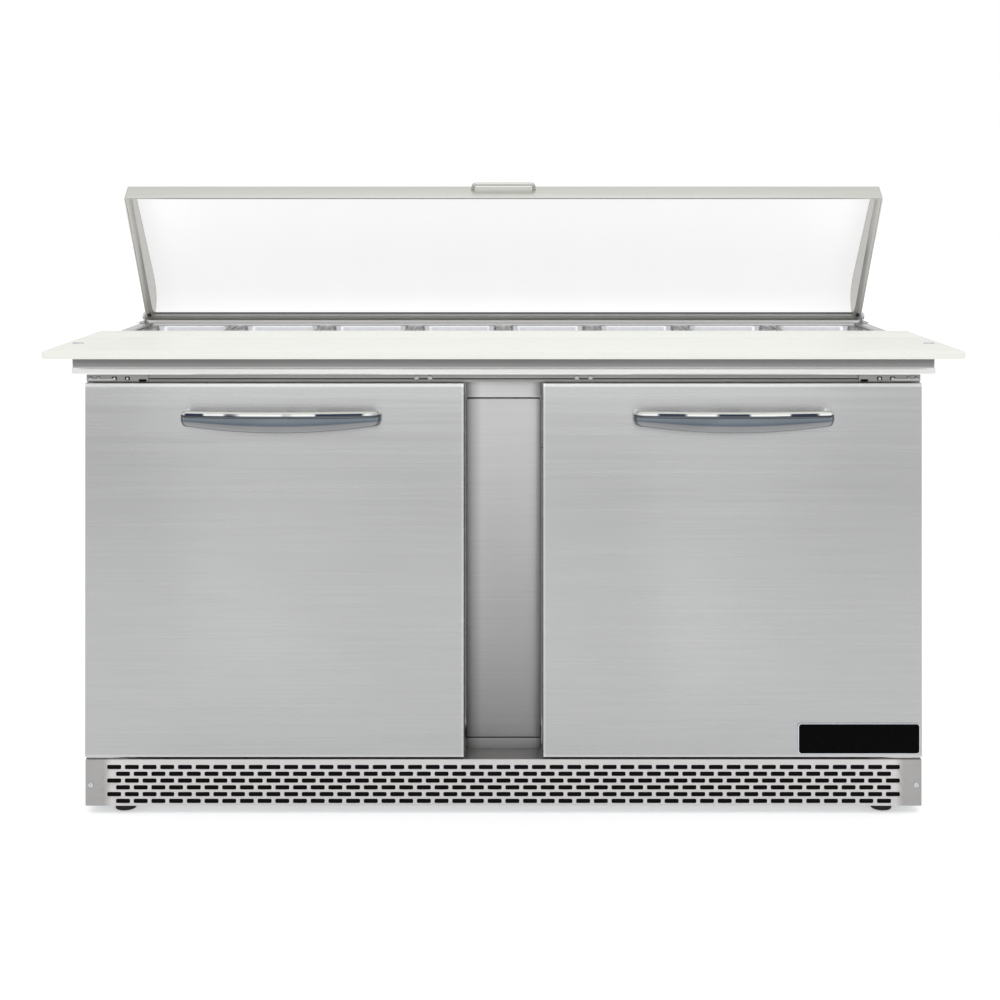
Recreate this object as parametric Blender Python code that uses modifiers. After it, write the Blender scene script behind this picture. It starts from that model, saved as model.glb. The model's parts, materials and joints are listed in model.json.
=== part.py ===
"""Refrigerated sandwich prep table: two doors, a pan well under a hinged lid, a cutting board."""

import math

import bmesh
import bpy
from mathutils import Matrix, Vector

# Driving dimensions, in metres. X runs along the front, +Y to the back, +Z up, floor at 0.
TOP_HALF = 0.762            # worktop and cutting board, half their width
TOP_FRONT = -0.234
TOP_BACK = 0.420
TOP_Z = 0.822
SKIRT_Z = 0.775
TOP_SHEET = 0.0015
BODY_HALF = 0.738           # cabinet, half its width
BODY_FRONT = -0.156
BODY_BACK = 0.415
BODY_TOP_Z = 0.820
BODY_BOTTOM_Z = 0.020
SHEET = 0.0012
GAP = 0.0003
SEAM = 0.0005
PAST = 0.015                # a cutter reaches this far past what it cuts

BOARD_FRONT = -0.420
BOARD_BACK = -0.032
BOARD_THICK = 0.0127
BOARD_EDGE = 0.0015

PAN_COLUMNS = 8
PAN_ROWS = 2
PAN_PITCH_X = 0.183
PAN_PITCH_Y = 0.1595
PAN_RIM_X = 0.176
PAN_RIM_Y = 0.1585
PAN_BODY_X = 0.154
PAN_BODY_Y = 0.137
PAN_TAPER = 0.007           # each wall leans in this much on its way down
PAN_DEPTH = 0.100
PAN_SHEET = 0.0008
PAN_CORNER = 0.018
PAN_CLEARANCE = 0.002       # between a pan's body and its hole in the rack
PAN_RIM_Z = 0.8170
WELL_HALF = 0.734           # pan opening in the worktop
WELL_FRONT = -0.027
WELL_BACK = 0.293

LID_HALF = 0.745
LID_AXIS = (0.0, 0.300, 0.836)
LID_REST_DEG = 52.0         # how far the lid stands open, from closed
LID_LENGTH = 0.325
LID_BEHIND = 0.011
LID_LIP = 0.038
LID_DEPTH = 0.075
LID_UNDER = 0.0125          # the lid's rim lies this far under its hinge axis
LID_SKIN = 0.0015
LID_WALL = 0.011
LID_HEEL = -0.002           # the back wall ends this far above the hinge axis
LID_HEEL_START = -0.0065    # from here back the liner's rim slants up, clear of a rear pan being lifted
LID_SIDE_GAP = 0.0015
BRACKET_SHEET = 0.002
EAR_SHEET = 0.003
EAR_HALF = 0.012

DOOR_INNER = 0.070
DOOR_OUTER = 0.738
DOOR_FRONT = -0.230
DOOR_BACK = -0.170
DOOR_LOW = 0.1005
DOOR_HIGH = 0.760
DOOR_SHEET = 0.001
DOOR_MIDDLE = (DOOR_LOW + DOOR_HIGH) / 2
DOOR_LINER_FRONT = -0.188
DOOR_LINER_THICK = 0.008
DOOR_LINER_WALL = 0.002
DOOR_LINER_RIM = 0.045
DOOR_DISH = 0.006
PIVOT_X = 0.723
PIVOT_Y = -0.206
PIN_R = 0.004
PIN_HOLE_R = 0.005
HINGE_FRONT = -0.224
HINGE_OUTER = 0.7375
HINGE_PLATE = 0.004
HINGE_LEG = 0.0015
# Inner end, plate's underside, leg's top, and the pin's two ends.
HINGE_TOP = (0.628, 0.7635, 0.800, 0.748, 0.7655)
HINGE_BOTTOM = (0.600, 0.0960, 0.1070, 0.098, 0.116)
DOORWAY_INNER = 0.102
DOORWAY_OUTER = 0.690
DOORWAY_LOW = 0.150
DOORWAY_HIGH = 0.728
GASKET_INNER = 0.076
GASKET_OUTER = 0.730
GASKET_LOW = 0.109
GASKET_HIGH = 0.754
GASKET_WIDTH = 0.020
GASKET_BACK = -0.158

HANDLE_X = {-1: -0.390, 1: 0.404}
HANDLE_Z = 0.701
HANDLE_HALF = 0.176
HANDLE_REACH = 0.045
HANDLE_TALL = 0.028
HANDLE_STRAP = 0.010
HANDLE_BOW = 0.010
HANDLE_FOOT = 0.030
HANDLE_EDGE = 0.003

PLATE_X = 0.6265
PLATE_Z = 0.134
PLATE_SIZE = (0.215, 0.002, 0.048)

GRILLE_FRONT = -0.226
GRILLE_LOW = 0.017
GRILLE_HIGH = 0.0955
GRILLE_SLOT = (0.050, 0.010)
GRILLE_PITCH = (0.064, 0.019)
GRILLE_ROWS = 3
GRILLE_COLUMNS = 22

MULLION_HALF = 0.067
MULLION_FRONT = -0.172
MULLION_LOW = 0.116
MULLION_HIGH = 0.726

INSIDE_HALF = 0.698         # insulated compartment
INSIDE_FRONT = -0.112
INSIDE_BACK = 0.373
INSIDE_FLOOR = 0.144
INSIDE_CEILING = 0.735
STEP_FRONT = 0.158          # the machine compartment's roof rises behind here
STEP_TOP = 0.380
PLENUM_HALF = 0.7245        # wide pan well over the compartment
PLENUM_FRONT = -0.040
PLENUM_BACK = 0.305
PLENUM_LOW = 0.705
LINER_SHEET = 0.001
MACHINE_FRONT = 0.200
MACHINE_TOP = 0.330
FOAM_FRONT = -0.152
FOAM_BACK = 0.412
FOAM_LOW = 0.095
FOAM_TOP = 0.7997
COLLAR_LOW = 0.802
FRAME_SHEET = 0.002

VENT_STARTS = (-0.420, 0.080)
VENT_SIZE = (0.300, 0.012)
VENT_LOW = 0.080
VENT_PITCH = 0.036
VENT_ROWS = 6
CORD_HOLE = (0.620, 0.120)
CORD_HOLE_R = 0.012
BASE_FRONT = -0.221
BASE_TOP = 0.060

FOOT_X = 0.673
FOOT_Y = (-0.196, 0.370)
FOOT_R = 0.0185
STUD_R = 0.005
STUD_TOP = 0.060
STUD_CLEARANCE = 0.0006

SHELF_LOW = 0.400
SHELF_ROD = 0.005
SHELF_EDGES = (0.014, 0.690)
SHELF_DEPTHS = (-0.100, 0.290)
SHELF_GAPS = 24

CONDENSER_FAN = (-0.280, 0.298, 0.165)
CONDENSER_FAN_R = 0.095
CONDENSER_MOTOR_R = 0.034
CONDENSER_COIL = ((-0.430, 0.210, 0.030), (-0.130, 0.262, 0.300))
CONDENSER_GROOVES = 12
EVAPORATOR_FAN = (-0.170, 0.306, 0.490)
EVAPORATOR_FAN_R = 0.065
EVAPORATOR_MOTOR_R = 0.026
EVAPORATOR_COIL = ((-0.040, 0.303, 0.420), (0.300, 0.368, 0.560))
EVAPORATOR_GROOVES = 14
MOTOR_LONG = 0.040
MOTOR_BEHIND = 0.040        # from the blade's middle to the motor's
SHAFT_R = 0.004
HUB_R = 0.018
HUB_LONG = 0.016
BLADE_SHEET = 0.0015
BLADE_PITCH_DEG = 25.0
FAN_BLADES = 4
COMPRESSOR_AT = (0.160, 0.305)
# Radius and height, from the top of the can down.
COMPRESSOR_PROFILE = [(0.0, 0.215), (0.040, 0.211), (0.065, 0.198), (0.076, 0.175), (0.078, 0.125),
                      (0.078, 0.065), (0.068, 0.042), (0.040, 0.034), (0.0, 0.032)]
KNOB_AT = (-0.696, 0.040, 0.640)
KNOB_R = 0.018
KNOB_THICK = 0.012

# Colour, metallic, roughness.
FINISHES = {
    "brushed_steel": ((0.62, 0.62, 0.61), 1.0, 0.35),
    "galvanised": ((0.55, 0.57, 0.58), 0.9, 0.5),
    "chrome": ((0.85, 0.85, 0.86), 1.0, 0.08),
    "board_plastic": ((0.86, 0.87, 0.82), 0.0, 0.5),
    "white_liner": ((0.90, 0.91, 0.92), 0.0, 0.3),
    "pale_foam": ((0.85, 0.78, 0.55), 0.0, 0.9),
    "grey_gasket": ((0.25, 0.25, 0.26), 0.0, 0.6),
    "black_plastic": ((0.02, 0.02, 0.02), 0.0, 0.4),
    "black_paint": ((0.03, 0.03, 0.035), 0.2, 0.45),
    "coil_fins": ((0.70, 0.71, 0.72), 1.0, 0.4),
    "coated_wire": ((0.75, 0.76, 0.77), 0.1, 0.4),
}


# ---------------------------------------------------------------- scene and materials

def clear_scene():
    """Remove every object already in the file."""
    for obj in list(bpy.data.objects):
        bpy.data.objects.remove(obj, do_unlink=True)


def collection(name):
    """A collection of the scene, made on first use."""
    found = bpy.data.collections.get(name)
    if found is None:
        found = bpy.data.collections.new(name)
        bpy.context.scene.collection.children.link(found)
    return found


def material(finish):
    """A Principled material for one finish."""
    found = bpy.data.materials.get(finish)
    if found:
        return found
    colour, metallic, roughness = FINISHES[finish]
    made = bpy.data.materials.new(finish)
    made.use_nodes = True
    shader = made.node_tree.nodes["Principled BSDF"]
    shader.inputs["Base Color"].default_value = (*colour, 1.0)
    shader.inputs["Metallic"].default_value = metallic
    shader.inputs["Roughness"].default_value = roughness
    return made


# ---------------------------------------------------------------- shapes

def mesh_object(name, bm, location, finish):
    """An object from a bmesh. Without a finish it is a cutter, or a shape to be joined to a part."""
    mesh = bpy.data.meshes.new(name)
    bm.to_mesh(mesh)
    bm.free()
    obj = bpy.data.objects.new(name, mesh)
    obj.location = location
    if finish:
        mesh.materials.append(material(finish))
        collection("sandwich_prep_table").objects.link(obj)
    else:
        obj.hide_render = True
        obj.display_type = "WIRE"
        collection("cutters").objects.link(obj)
    return obj


def box(name, low, high, finish=None):
    """A box between two corners, with its origin at its centre."""
    low = Vector(low)
    high = Vector(high)
    bm = bmesh.new()
    bmesh.ops.create_cube(bm, size=1.0)
    bmesh.ops.scale(bm, vec=high - low, verts=bm.verts)
    return mesh_object(name, bm, (low + high) / 2, finish)


def boxes(name, corners, finish=None):
    """Several boxes that don't touch, in one mesh."""
    bm = bmesh.new()
    for low, high in corners:
        low = Vector(low)
        high = Vector(high)
        place = Matrix.Translation((low + high) / 2) @ Matrix.Diagonal((*(high - low), 1.0))
        bmesh.ops.create_cube(bm, size=1.0, matrix=place)
    return mesh_object(name, bm, (0, 0, 0), finish)


def cylinder(name, centre, radius, length, axis, finish=None, sides=24):
    """A cylinder about its centre, along X, Y or Z."""
    turn = {"X": Matrix.Rotation(math.pi / 2, 4, "Y"), "Y": Matrix.Rotation(math.pi / 2, 4, "X"),
            "Z": Matrix.Identity(4)}[axis]
    bm = bmesh.new()
    bmesh.ops.create_cone(bm, cap_ends=True, segments=sides, radius1=radius, radius2=radius,
                          depth=length, matrix=turn)
    obj = mesh_object(name, bm, centre, finish)
    obj.data.shade_smooth()
    obj.data.set_sharp_from_angle(angle=math.radians(30))
    return obj


def turned(name, profile, location, finish, sides=24):
    """A turned shape: (radius, height) points from top to bottom, swept about Z."""
    bm = bmesh.new()
    points = [bm.verts.new((radius, 0.0, height)) for radius, height in profile]
    for first, second in zip(points, points[1:]):
        bm.edges.new((first, second))
    obj = mesh_object(name, bm, location, finish)
    screw = obj.modifiers.new("turn", "SCREW")
    screw.steps = sides
    screw.render_steps = sides
    screw.use_merge_vertices = True
    screw.merge_threshold = 0.00001
    return obj


def curve_to_mesh(obj, finish):
    """The curve as a mesh object with its caps welded, in the curve's place."""
    bpy.context.view_layer.update()
    evaluated = obj.evaluated_get(bpy.context.evaluated_depsgraph_get())
    mesh = bpy.data.meshes.new_from_object(evaluated)
    bm = bmesh.new()
    bm.from_mesh(mesh)
    bmesh.ops.remove_doubles(bm, verts=bm.verts, dist=0.00001)
    bmesh.ops.recalc_face_normals(bm, faces=bm.faces)
    bpy.data.meshes.remove(mesh)
    name = obj.name
    place = obj.matrix_world.copy()
    data = obj.data
    bpy.data.objects.remove(obj)
    bpy.data.curves.remove(data)
    made = mesh_object(name, bm, (0, 0, 0), finish)
    made.matrix_world = place
    return made


def outline(name, points, thickness, location, rotation=(0, 0, 0), finish=None):
    """A flat outline given as (x, y) points, made a plate centred on its plane."""
    curve = bpy.data.curves.new(name, "CURVE")
    curve.dimensions = "2D"
    curve.fill_mode = "BOTH"
    curve.extrude = thickness / 2
    spline = curve.splines.new("POLY")
    spline.points.add(len(points) - 1)
    spline.use_cyclic_u = True
    for point, (x, y) in zip(spline.points, points):
        point.co = (x, y, 0.0, 1.0)
    obj = bpy.data.objects.new(name, curve)
    obj.location = location
    obj.rotation_euler = rotation
    bpy.context.scene.collection.objects.link(obj)
    return curve_to_mesh(obj, finish)


def side_profile(name, points, half_width, origin, finish=None):
    """An outline of (y, z) points in the side view, as wide as the given half width each way."""
    turn = (math.pi / 2, 0, math.pi / 2)
    return outline(name, points, 2 * half_width, origin, turn, finish)


def combine(piece, other, operation):
    """Join or cut a piece with another shape."""
    boolean = piece.modifiers.new(other.name, "BOOLEAN")
    boolean.operation = operation
    boolean.object = other
    boolean.solver = "EXACT"
    return piece


def cut(piece, *others):
    for other in others:
        combine(piece, other, "DIFFERENCE")
    return piece


def join(piece, *others):
    for other in others:
        combine(piece, other, "UNION")
    return piece


def soften(piece, width, segments=2):
    """Round a piece's edges."""
    bevel = piece.modifiers.new("rounded edges", "BEVEL")
    bevel.width = width
    bevel.segments = segments
    bevel.limit_method = "ANGLE"
    return piece


def pivot(name, location):
    """An empty on a joint's axis."""
    empty = bpy.data.objects.new(name, None)
    empty.location = location
    empty.empty_display_size = 0.05
    collection("sandwich_prep_table").objects.link(empty)
    return empty


def ride_on(empty, *pieces):
    """Parent pieces and their cutters to a pivot, where they stand."""
    keep = Matrix.Translation(-Vector(empty.location))
    for piece in pieces:
        tools = [m.object for m in piece.modifiers if m.type == "BOOLEAN"]
        for obj in [piece, *tools]:
            obj.parent = empty
            obj.matrix_parent_inverse = keep


# ---------------------------------------------------------------- cabinet

def side_panel(name, side):
    """Outer side sheet."""
    low, high = mirrored(side, (BODY_HALF - SHEET, BODY_FRONT + FRAME_SHEET + SEAM, BODY_BOTTOM_Z),
                         (BODY_HALF, BODY_BACK - SHEET - GAP, BODY_TOP_Z))
    return box(name, low, high, "brushed_steel")


def mirrored(side, low, high):
    """The corners of a box on the left (side -1) or right (side 1)."""
    if side > 0:
        return low, high
    return (-high[0], low[1], low[2]), (-low[0], high[1], high[2])


def rear_panel():
    """Back sheet with two groups of vent slots and a cord hole."""
    panel = box("rear_panel", (-BODY_HALF + GAP, BODY_BACK - SHEET, BODY_BOTTOM_Z),
                (BODY_HALF - GAP, BODY_BACK, BODY_TOP_Z), "galvanised")
    wide, tall = VENT_SIZE
    slots = []
    for start in VENT_STARTS:
        for row in range(VENT_ROWS):
            z = VENT_LOW + VENT_PITCH * row
            slots.append(((start, BODY_BACK - PAST, z), (start + wide, BODY_BACK + PAST, z + tall)))
    x, z = CORD_HOLE
    return cut(panel, boxes("rear_vents", slots), cylinder("cord_hole", (x, BODY_BACK, z), CORD_HOLE_R, PAST, "Y"))


def base_pan():
    """Tray under the cabinet, with a hole over each foot."""
    half = BODY_HALF - SHEET - GAP
    back = BODY_BACK - SHEET - 2 * GAP
    tray = box("base_pan", (-half, BASE_FRONT, BODY_BOTTOM_Z), (half, back, BASE_TOP), "galvanised")
    hollow = box("base_pan_hollow", (-half + TOP_SHEET, BASE_FRONT + TOP_SHEET, BODY_BOTTOM_Z + TOP_SHEET),
                 (half - TOP_SHEET, back - TOP_SHEET, BASE_TOP + PAST))
    holes = [cylinder(f"foot_hole_{i}", (x, y, BODY_BOTTOM_Z), STUD_R + STUD_CLEARANCE, PAST, "Z")
             for i, (x, y) in enumerate(foot_places())]
    return cut(tray, hollow, *holes)


def foot_places():
    return [(x, y) for y in FOOT_Y for x in (-FOOT_X, FOOT_X)]


def doorways(name, front=BODY_FRONT - PAST, back=INSIDE_FRONT + PAST, grow=0.0):
    """Two boxes through the door openings of the face frame."""
    corners = []
    for side in (-1, 1):
        corners.append(mirrored(side, (DOORWAY_INNER - grow, front, DOORWAY_LOW - grow),
                                (DOORWAY_OUTER + grow, back, DOORWAY_HIGH + grow)))
    return boxes(name, corners)


def compartment_shapes(name, inset):
    """The insulated space as overlapping boxes, pulled in by an inset on every side."""
    low_room = box(name + "_room", (-INSIDE_HALF + inset, INSIDE_FRONT + inset, INSIDE_FLOOR + inset),
                   (INSIDE_HALF - inset, STEP_FRONT - inset, INSIDE_CEILING - inset))
    back_room = box(name + "_back", (-INSIDE_HALF + inset, 0.0, STEP_TOP + inset),
                    (INSIDE_HALF - inset, INSIDE_BACK - inset, INSIDE_CEILING - inset))
    well = box(name + "_well", (-PLENUM_HALF + inset, PLENUM_FRONT + inset, PLENUM_LOW + inset),
               (PLENUM_HALF - inset, PLENUM_BACK - inset, BODY_TOP_Z + PAST))
    return low_room, back_room, well


def foam_insulation():
    """One foamed body between the outer sheets and the liner, stepped over the machine space."""
    half = BODY_HALF - SHEET - GAP
    foam = box("foam_insulation", (-half, FOAM_FRONT, FOAM_LOW), (half, FOAM_BACK, FOAM_TOP), "pale_foam")
    machine = box("machine_space", (-TOP_HALF, MACHINE_FRONT, FOAM_LOW - PAST),
                  (TOP_HALF, BODY_BACK + PAST, MACHINE_TOP))
    return cut(foam, machine, *compartment_shapes("foam_cut", 0.0), doorways("foam_doors"))


def interior_liner():
    """Thin liner of the cold space, open at both doorways and at the top."""
    outer = compartment_shapes("liner_outer", GAP)
    inner = compartment_shapes("liner_inner", GAP + LINER_SHEET)
    middle = (INSIDE_FLOOR + INSIDE_CEILING) / 2
    liner = box("interior_liner", (-PAST, -PAST, middle - PAST), (PAST, PAST, middle + PAST), "white_liner")
    trim = box("liner_trim", (-TOP_HALF, BODY_FRONT, FOAM_TOP), (TOP_HALF, BODY_BACK, TOP_Z + PAST))
    join(liner, *outer, doorways("liner_doors_outer", front=FOAM_FRONT, grow=-GAP))
    return cut(liner, *inner, doorways("liner_doors_inner", grow=-GAP - LINER_SHEET), trim)


def front_frame():
    """Face frame with two doorways."""
    frame = box("front_frame", (-BODY_HALF + GAP, BODY_FRONT, FOAM_LOW),
                (BODY_HALF - GAP, BODY_FRONT + FRAME_SHEET, BODY_TOP_Z), "brushed_steel")
    return cut(frame, doorways("frame_doors"))


def mullion_cover():
    """Channel over the post between the doors."""
    half = MULLION_HALF
    cover = box("mullion_cover", (-half, MULLION_FRONT, MULLION_LOW), (half, BODY_FRONT - GAP, MULLION_HIGH),
                "brushed_steel")
    hollow = box("mullion_hollow", (-half + SHEET, MULLION_FRONT + SHEET, MULLION_LOW + SHEET),
                 (half - SHEET, BODY_FRONT + PAST, MULLION_HIGH - SHEET))
    return cut(cover, hollow)


# ---------------------------------------------------------------- worktop, board, pans

def worktop():
    """Folded top with a skirt on four sides and a collar round the pan opening."""
    top = box("worktop", (-TOP_HALF, TOP_FRONT, SKIRT_Z), (TOP_HALF, TOP_BACK, TOP_Z), "brushed_steel")
    under = box("worktop_under", (-TOP_HALF + TOP_SHEET, TOP_FRONT + TOP_SHEET, SKIRT_Z - PAST),
                (TOP_HALF - TOP_SHEET, TOP_BACK - TOP_SHEET, TOP_Z - TOP_SHEET))
    collar = box("worktop_collar", (-WELL_HALF - TOP_SHEET, WELL_FRONT - TOP_SHEET, COLLAR_LOW),
                 (WELL_HALF + TOP_SHEET, WELL_BACK + TOP_SHEET, TOP_Z - TOP_SHEET / 2))
    well = box("worktop_well", (-WELL_HALF, WELL_FRONT, COLLAR_LOW - PAST), (WELL_HALF, WELL_BACK, TOP_Z + PAST))
    cut(top, under)
    join(top, collar)
    return cut(top, well)


def cutting_board():
    """Thick board lying on the front of the worktop."""
    low = TOP_Z + GAP
    board = box("cutting_board", (-TOP_HALF, BOARD_FRONT, low),
                (TOP_HALF, BOARD_BACK, low + BOARD_THICK), "board_plastic")
    return soften(board, BOARD_EDGE)


def pan_centres():
    """(name, x, y) of each pan, front row first."""
    middle_y = (WELL_FRONT + WELL_BACK) / 2
    places = []
    for row, row_name in enumerate(("front", "rear")):
        y = middle_y + (row - (PAN_ROWS - 1) / 2) * PAN_PITCH_Y
        for column in range(PAN_COLUMNS):
            x = (column - (PAN_COLUMNS - 1) / 2) * PAN_PITCH_X
            places.append((f"pan_{row_name}_{column + 1}", x, y))
    return places


def pan_divider_rack():
    """Frame in the pan opening with one hole for each pan."""
    edge = 0.001
    rack = box("pan_divider_rack", (-WELL_HALF + edge, WELL_FRONT + edge, FOAM_TOP + GAP),
               (WELL_HALF - edge, WELL_BACK - edge, PAN_RIM_Z - GAP), "brushed_steel")
    half_x = PAN_BODY_X / 2 + PAN_CLEARANCE
    half_y = PAN_BODY_Y / 2 + PAN_CLEARANCE
    holes = [((x - half_x, y - half_y, FOAM_TOP - PAST), (x + half_x, y + half_y, TOP_Z + PAST))
             for _, x, y in pan_centres()]
    return cut(rack, boxes("rack_holes", holes))


def pan_mesh():
    """Open pan with rounded corners, leaning walls and a flat rim, as one surface."""
    bm = bmesh.new()
    bmesh.ops.create_cube(bm, size=1.0)
    bmesh.ops.scale(bm, vec=(PAN_BODY_X, PAN_BODY_Y, PAN_DEPTH), verts=bm.verts)
    bmesh.ops.translate(bm, vec=(0, 0, -PAN_DEPTH / 2), verts=bm.verts)
    upright = [e for e in bm.edges if abs(e.verts[0].co.z - e.verts[1].co.z) > PAN_DEPTH / 2]
    bmesh.ops.bevel(bm, geom=upright, offset=PAN_CORNER, segments=2, affect="EDGES", profile=0.5)
    for vert in bm.verts:
        if vert.co.z < -PAN_DEPTH / 2:
            vert.co.x *= 1 - 2 * PAN_TAPER / PAN_BODY_X
            vert.co.y *= 1 - 2 * PAN_TAPER / PAN_BODY_Y
    lid_faces = [f for f in bm.faces if f.normal.z > 0.9]
    bmesh.ops.delete(bm, geom=lid_faces, context="FACES_ONLY")
    mouth = [e for e in bm.edges if e.is_boundary]
    made = bmesh.ops.extrude_edge_only(bm, edges=mouth)["geom"]
    for vert in [v for v in made if isinstance(v, bmesh.types.BMVert)]:
        vert.co.x *= PAN_RIM_X / PAN_BODY_X
        vert.co.y *= PAN_RIM_Y / PAN_BODY_Y
    bmesh.ops.recalc_face_normals(bm, faces=bm.faces)
    mesh = bpy.data.meshes.new("one_sixth_pan")
    bm.to_mesh(mesh)
    bm.free()
    mesh.materials.append(material("brushed_steel"))
    return mesh


def pans():
    """Every pan as its own object, sharing one mesh."""
    mesh = pan_mesh()
    for name, x, y in pan_centres():
        pan = bpy.data.objects.new(name, mesh)
        pan.location = (x, y, PAN_RIM_Z + PAN_SHEET)
        collection("sandwich_prep_table").objects.link(pan)
        wall = pan.modifiers.new("sheet", "SOLIDIFY")
        wall.thickness = PAN_SHEET
        wall.offset = 0.0


# ---------------------------------------------------------------- lid

def lid_profile(inset):
    """(y, z) outline of the hood about its hinge axis, pulled in by an inset at front, top and back."""
    front = -LID_LENGTH + inset
    back = LID_BEHIND - inset
    slope = (LID_DEPTH - LID_LIP) / (LID_LENGTH + LID_BEHIND)
    top_front = LID_LIP - LID_UNDER - inset
    low = -LID_UNDER - (PAST if inset else 0.0)
    if inset:
        return [(front, low), (back, low), (back, top_front + slope * (back - front)), (front, top_front)]
    return [(front, low), (0.0, low), (back, LID_HEEL), (back, LID_DEPTH - LID_UNDER), (front, top_front)]


def lid():
    """Hood, liner and handle, modelled closed and then swung open about the hinge axis."""
    skin = LID_SKIN
    shell = side_profile("lid_shell", lid_profile(0.0), LID_HALF, LID_AXIS, "brushed_steel")
    cut(shell, side_profile("lid_hollow", lid_profile(skin), LID_HALF - skin, LID_AXIS))
    inner = skin + GAP
    deep = inner + LID_WALL
    liner = side_profile("lid_liner", lid_profile(inner), LID_HALF - inner, LID_AXIS, "white_liner")
    under = side_profile("liner_under", lid_trim(), LID_HALF + PAST, LID_AXIS)
    cut(liner, side_profile("liner_hollow", lid_profile(deep), LID_HALF - deep, LID_AXIS), under)
    pin_room = cylinder("lid_pin_room", LID_AXIS, PIN_HOLE_R, 2 * LID_HALF + PAST, "X", sides=16)
    cut(shell, pin_room)
    cut(liner, pin_room)
    swing = pivot("lid_pivot", LID_AXIS)
    ride_on(swing, shell, liner, lid_handle())
    swing.rotation_euler = (-math.radians(LID_REST_DEG), 0, 0)


def lid_trim():
    """Everything under the lid's rim line and its slanted heel, to trim the liner."""
    rim = -LID_UNDER + GAP
    low = rim - 2 * PAST
    front = -LID_LENGTH - PAST
    back = LID_BEHIND + PAST
    return [(front, low), (back, low), (back, rim + back - LID_HEEL_START), (LID_HEEL_START, rim), (front, rim)]


def lid_handle():
    """Low bow on the lip."""
    half = 0.060
    reach = 0.012
    radius = 0.004
    under_edge = 0.010
    shoulder_x = 0.054
    shoulder_y = 0.0072
    lip = LID_AXIS[1] - LID_LENGTH - GAP
    height = LID_AXIS[2] + LID_LIP - LID_UNDER - under_edge
    path = [(-half, lip), (-half, lip - shoulder_y), (-shoulder_x, lip - reach),
            (shoulder_x, lip - reach), (half, lip - shoulder_y), (half, lip)]
    curve = bpy.data.curves.new("lid_handle", "CURVE")
    curve.dimensions = "3D"
    curve.bevel_depth = radius
    curve.bevel_resolution = 2
    curve.use_fill_caps = True
    spline = curve.splines.new("POLY")
    spline.points.add(len(path) - 1)
    for point, (x, y) in zip(spline.points, path):
        point.co = (x, y, height, 1.0)
    obj = bpy.data.objects.new("lid_handle", curve)
    bpy.context.scene.collection.objects.link(obj)
    return curve_to_mesh(obj, "brushed_steel")


def lid_hinge(name, side):
    """Bracket on the worktop with the pin the lid turns on."""
    _, y, z = LID_AXIS
    front_reach = 0.018
    back_reach = 0.022
    inner = LID_HALF + LID_SIDE_GAP
    foot = TOP_Z + GAP
    plate = box(name, *mirrored(side, (inner, y - front_reach, foot),
                                (TOP_HALF - 0.001, y + back_reach, foot + BRACKET_SHEET)), "brushed_steel")
    upright = box(name + "_ear", *mirrored(side, (inner, y - EAR_HALF, foot + BRACKET_SHEET / 3),
                                           (inner + EAR_SHEET, y + EAR_HALF, z + EAR_HALF)))
    pin_length = 0.016
    pin_x = side * (inner + EAR_SHEET / 3 - pin_length / 2)
    pin = cylinder(name + "_pin", (pin_x, y, z), PIN_R, pin_length, "X", sides=16)
    return join(plate, upright, pin)


# ---------------------------------------------------------------- doors

def door(name, side):
    """Skin, liner, gasket and handle of one door, about its pivot."""
    skin = box(f"{name}_skin", *mirrored(side, (DOOR_INNER, DOOR_FRONT, DOOR_LOW),
                                         (DOOR_OUTER, DOOR_BACK, DOOR_HIGH)), "brushed_steel")
    sheet = DOOR_SHEET
    hollow = box(f"{name}_hollow", *mirrored(side, (DOOR_INNER + sheet, DOOR_FRONT + sheet, DOOR_LOW + sheet),
                                             (DOOR_OUTER - sheet, DOOR_BACK + PAST, DOOR_HIGH - sheet)))
    pin_hole = cylinder(f"{name}_pin_holes", (side * PIVOT_X, PIVOT_Y, DOOR_MIDDLE), PIN_HOLE_R, 1.0, "Z",
                        sides=16)
    cut(skin, hollow, pin_hole)
    liner = door_liner(name, side)
    gasket = door_gasket(name, side)
    swing = pivot(f"{name}_pivot", (side * PIVOT_X, PIVOT_Y, DOOR_MIDDLE))
    pieces = [skin, liner, gasket, door_handle(name, side)]
    if side > 0:
        pieces.append(nameplate())
    ride_on(swing, *pieces)


def door_liner(name, side):
    """Inner pan of a door: a dished panel with a turned-in edge."""
    edge = DOOR_SHEET + GAP
    wall = edge + DOOR_LINER_WALL
    rim = DOOR_LINER_RIM
    liner = box(f"{name}_liner", *mirrored(side, (DOOR_INNER + edge, DOOR_LINER_FRONT, DOOR_LOW + edge),
                                           (DOOR_OUTER - edge, DOOR_BACK, DOOR_HIGH - edge)), "white_liner")
    hollow = box(f"{name}_liner_hollow", *mirrored(
        side, (DOOR_INNER + wall, DOOR_FRONT, DOOR_LOW + wall),
        (DOOR_OUTER - wall, DOOR_BACK - DOOR_LINER_THICK, DOOR_HIGH - wall)))
    dish = box(f"{name}_liner_dish", *mirrored(
        side, (DOOR_INNER + rim, DOOR_BACK - DOOR_DISH, DOOR_LOW + rim),
        (DOOR_OUTER - rim, DOOR_BACK + PAST, DOOR_HIGH - rim)))
    return cut(liner, hollow, dish)


def door_gasket(name, side):
    """Ring that seals on the face frame."""
    gasket = box(f"{name}_gasket", *mirrored(side, (GASKET_INNER, DOOR_BACK + GAP, GASKET_LOW),
                                             (GASKET_OUTER, GASKET_BACK, GASKET_HIGH)), "grey_gasket")
    middle = box(f"{name}_gasket_middle", *mirrored(
        side, (GASKET_INNER + GASKET_WIDTH, DOOR_BACK - PAST, GASKET_LOW + GASKET_WIDTH),
        (GASKET_OUTER - GASKET_WIDTH, GASKET_BACK + PAST, GASKET_HIGH - GASKET_WIDTH)))
    return cut(gasket, middle)


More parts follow.
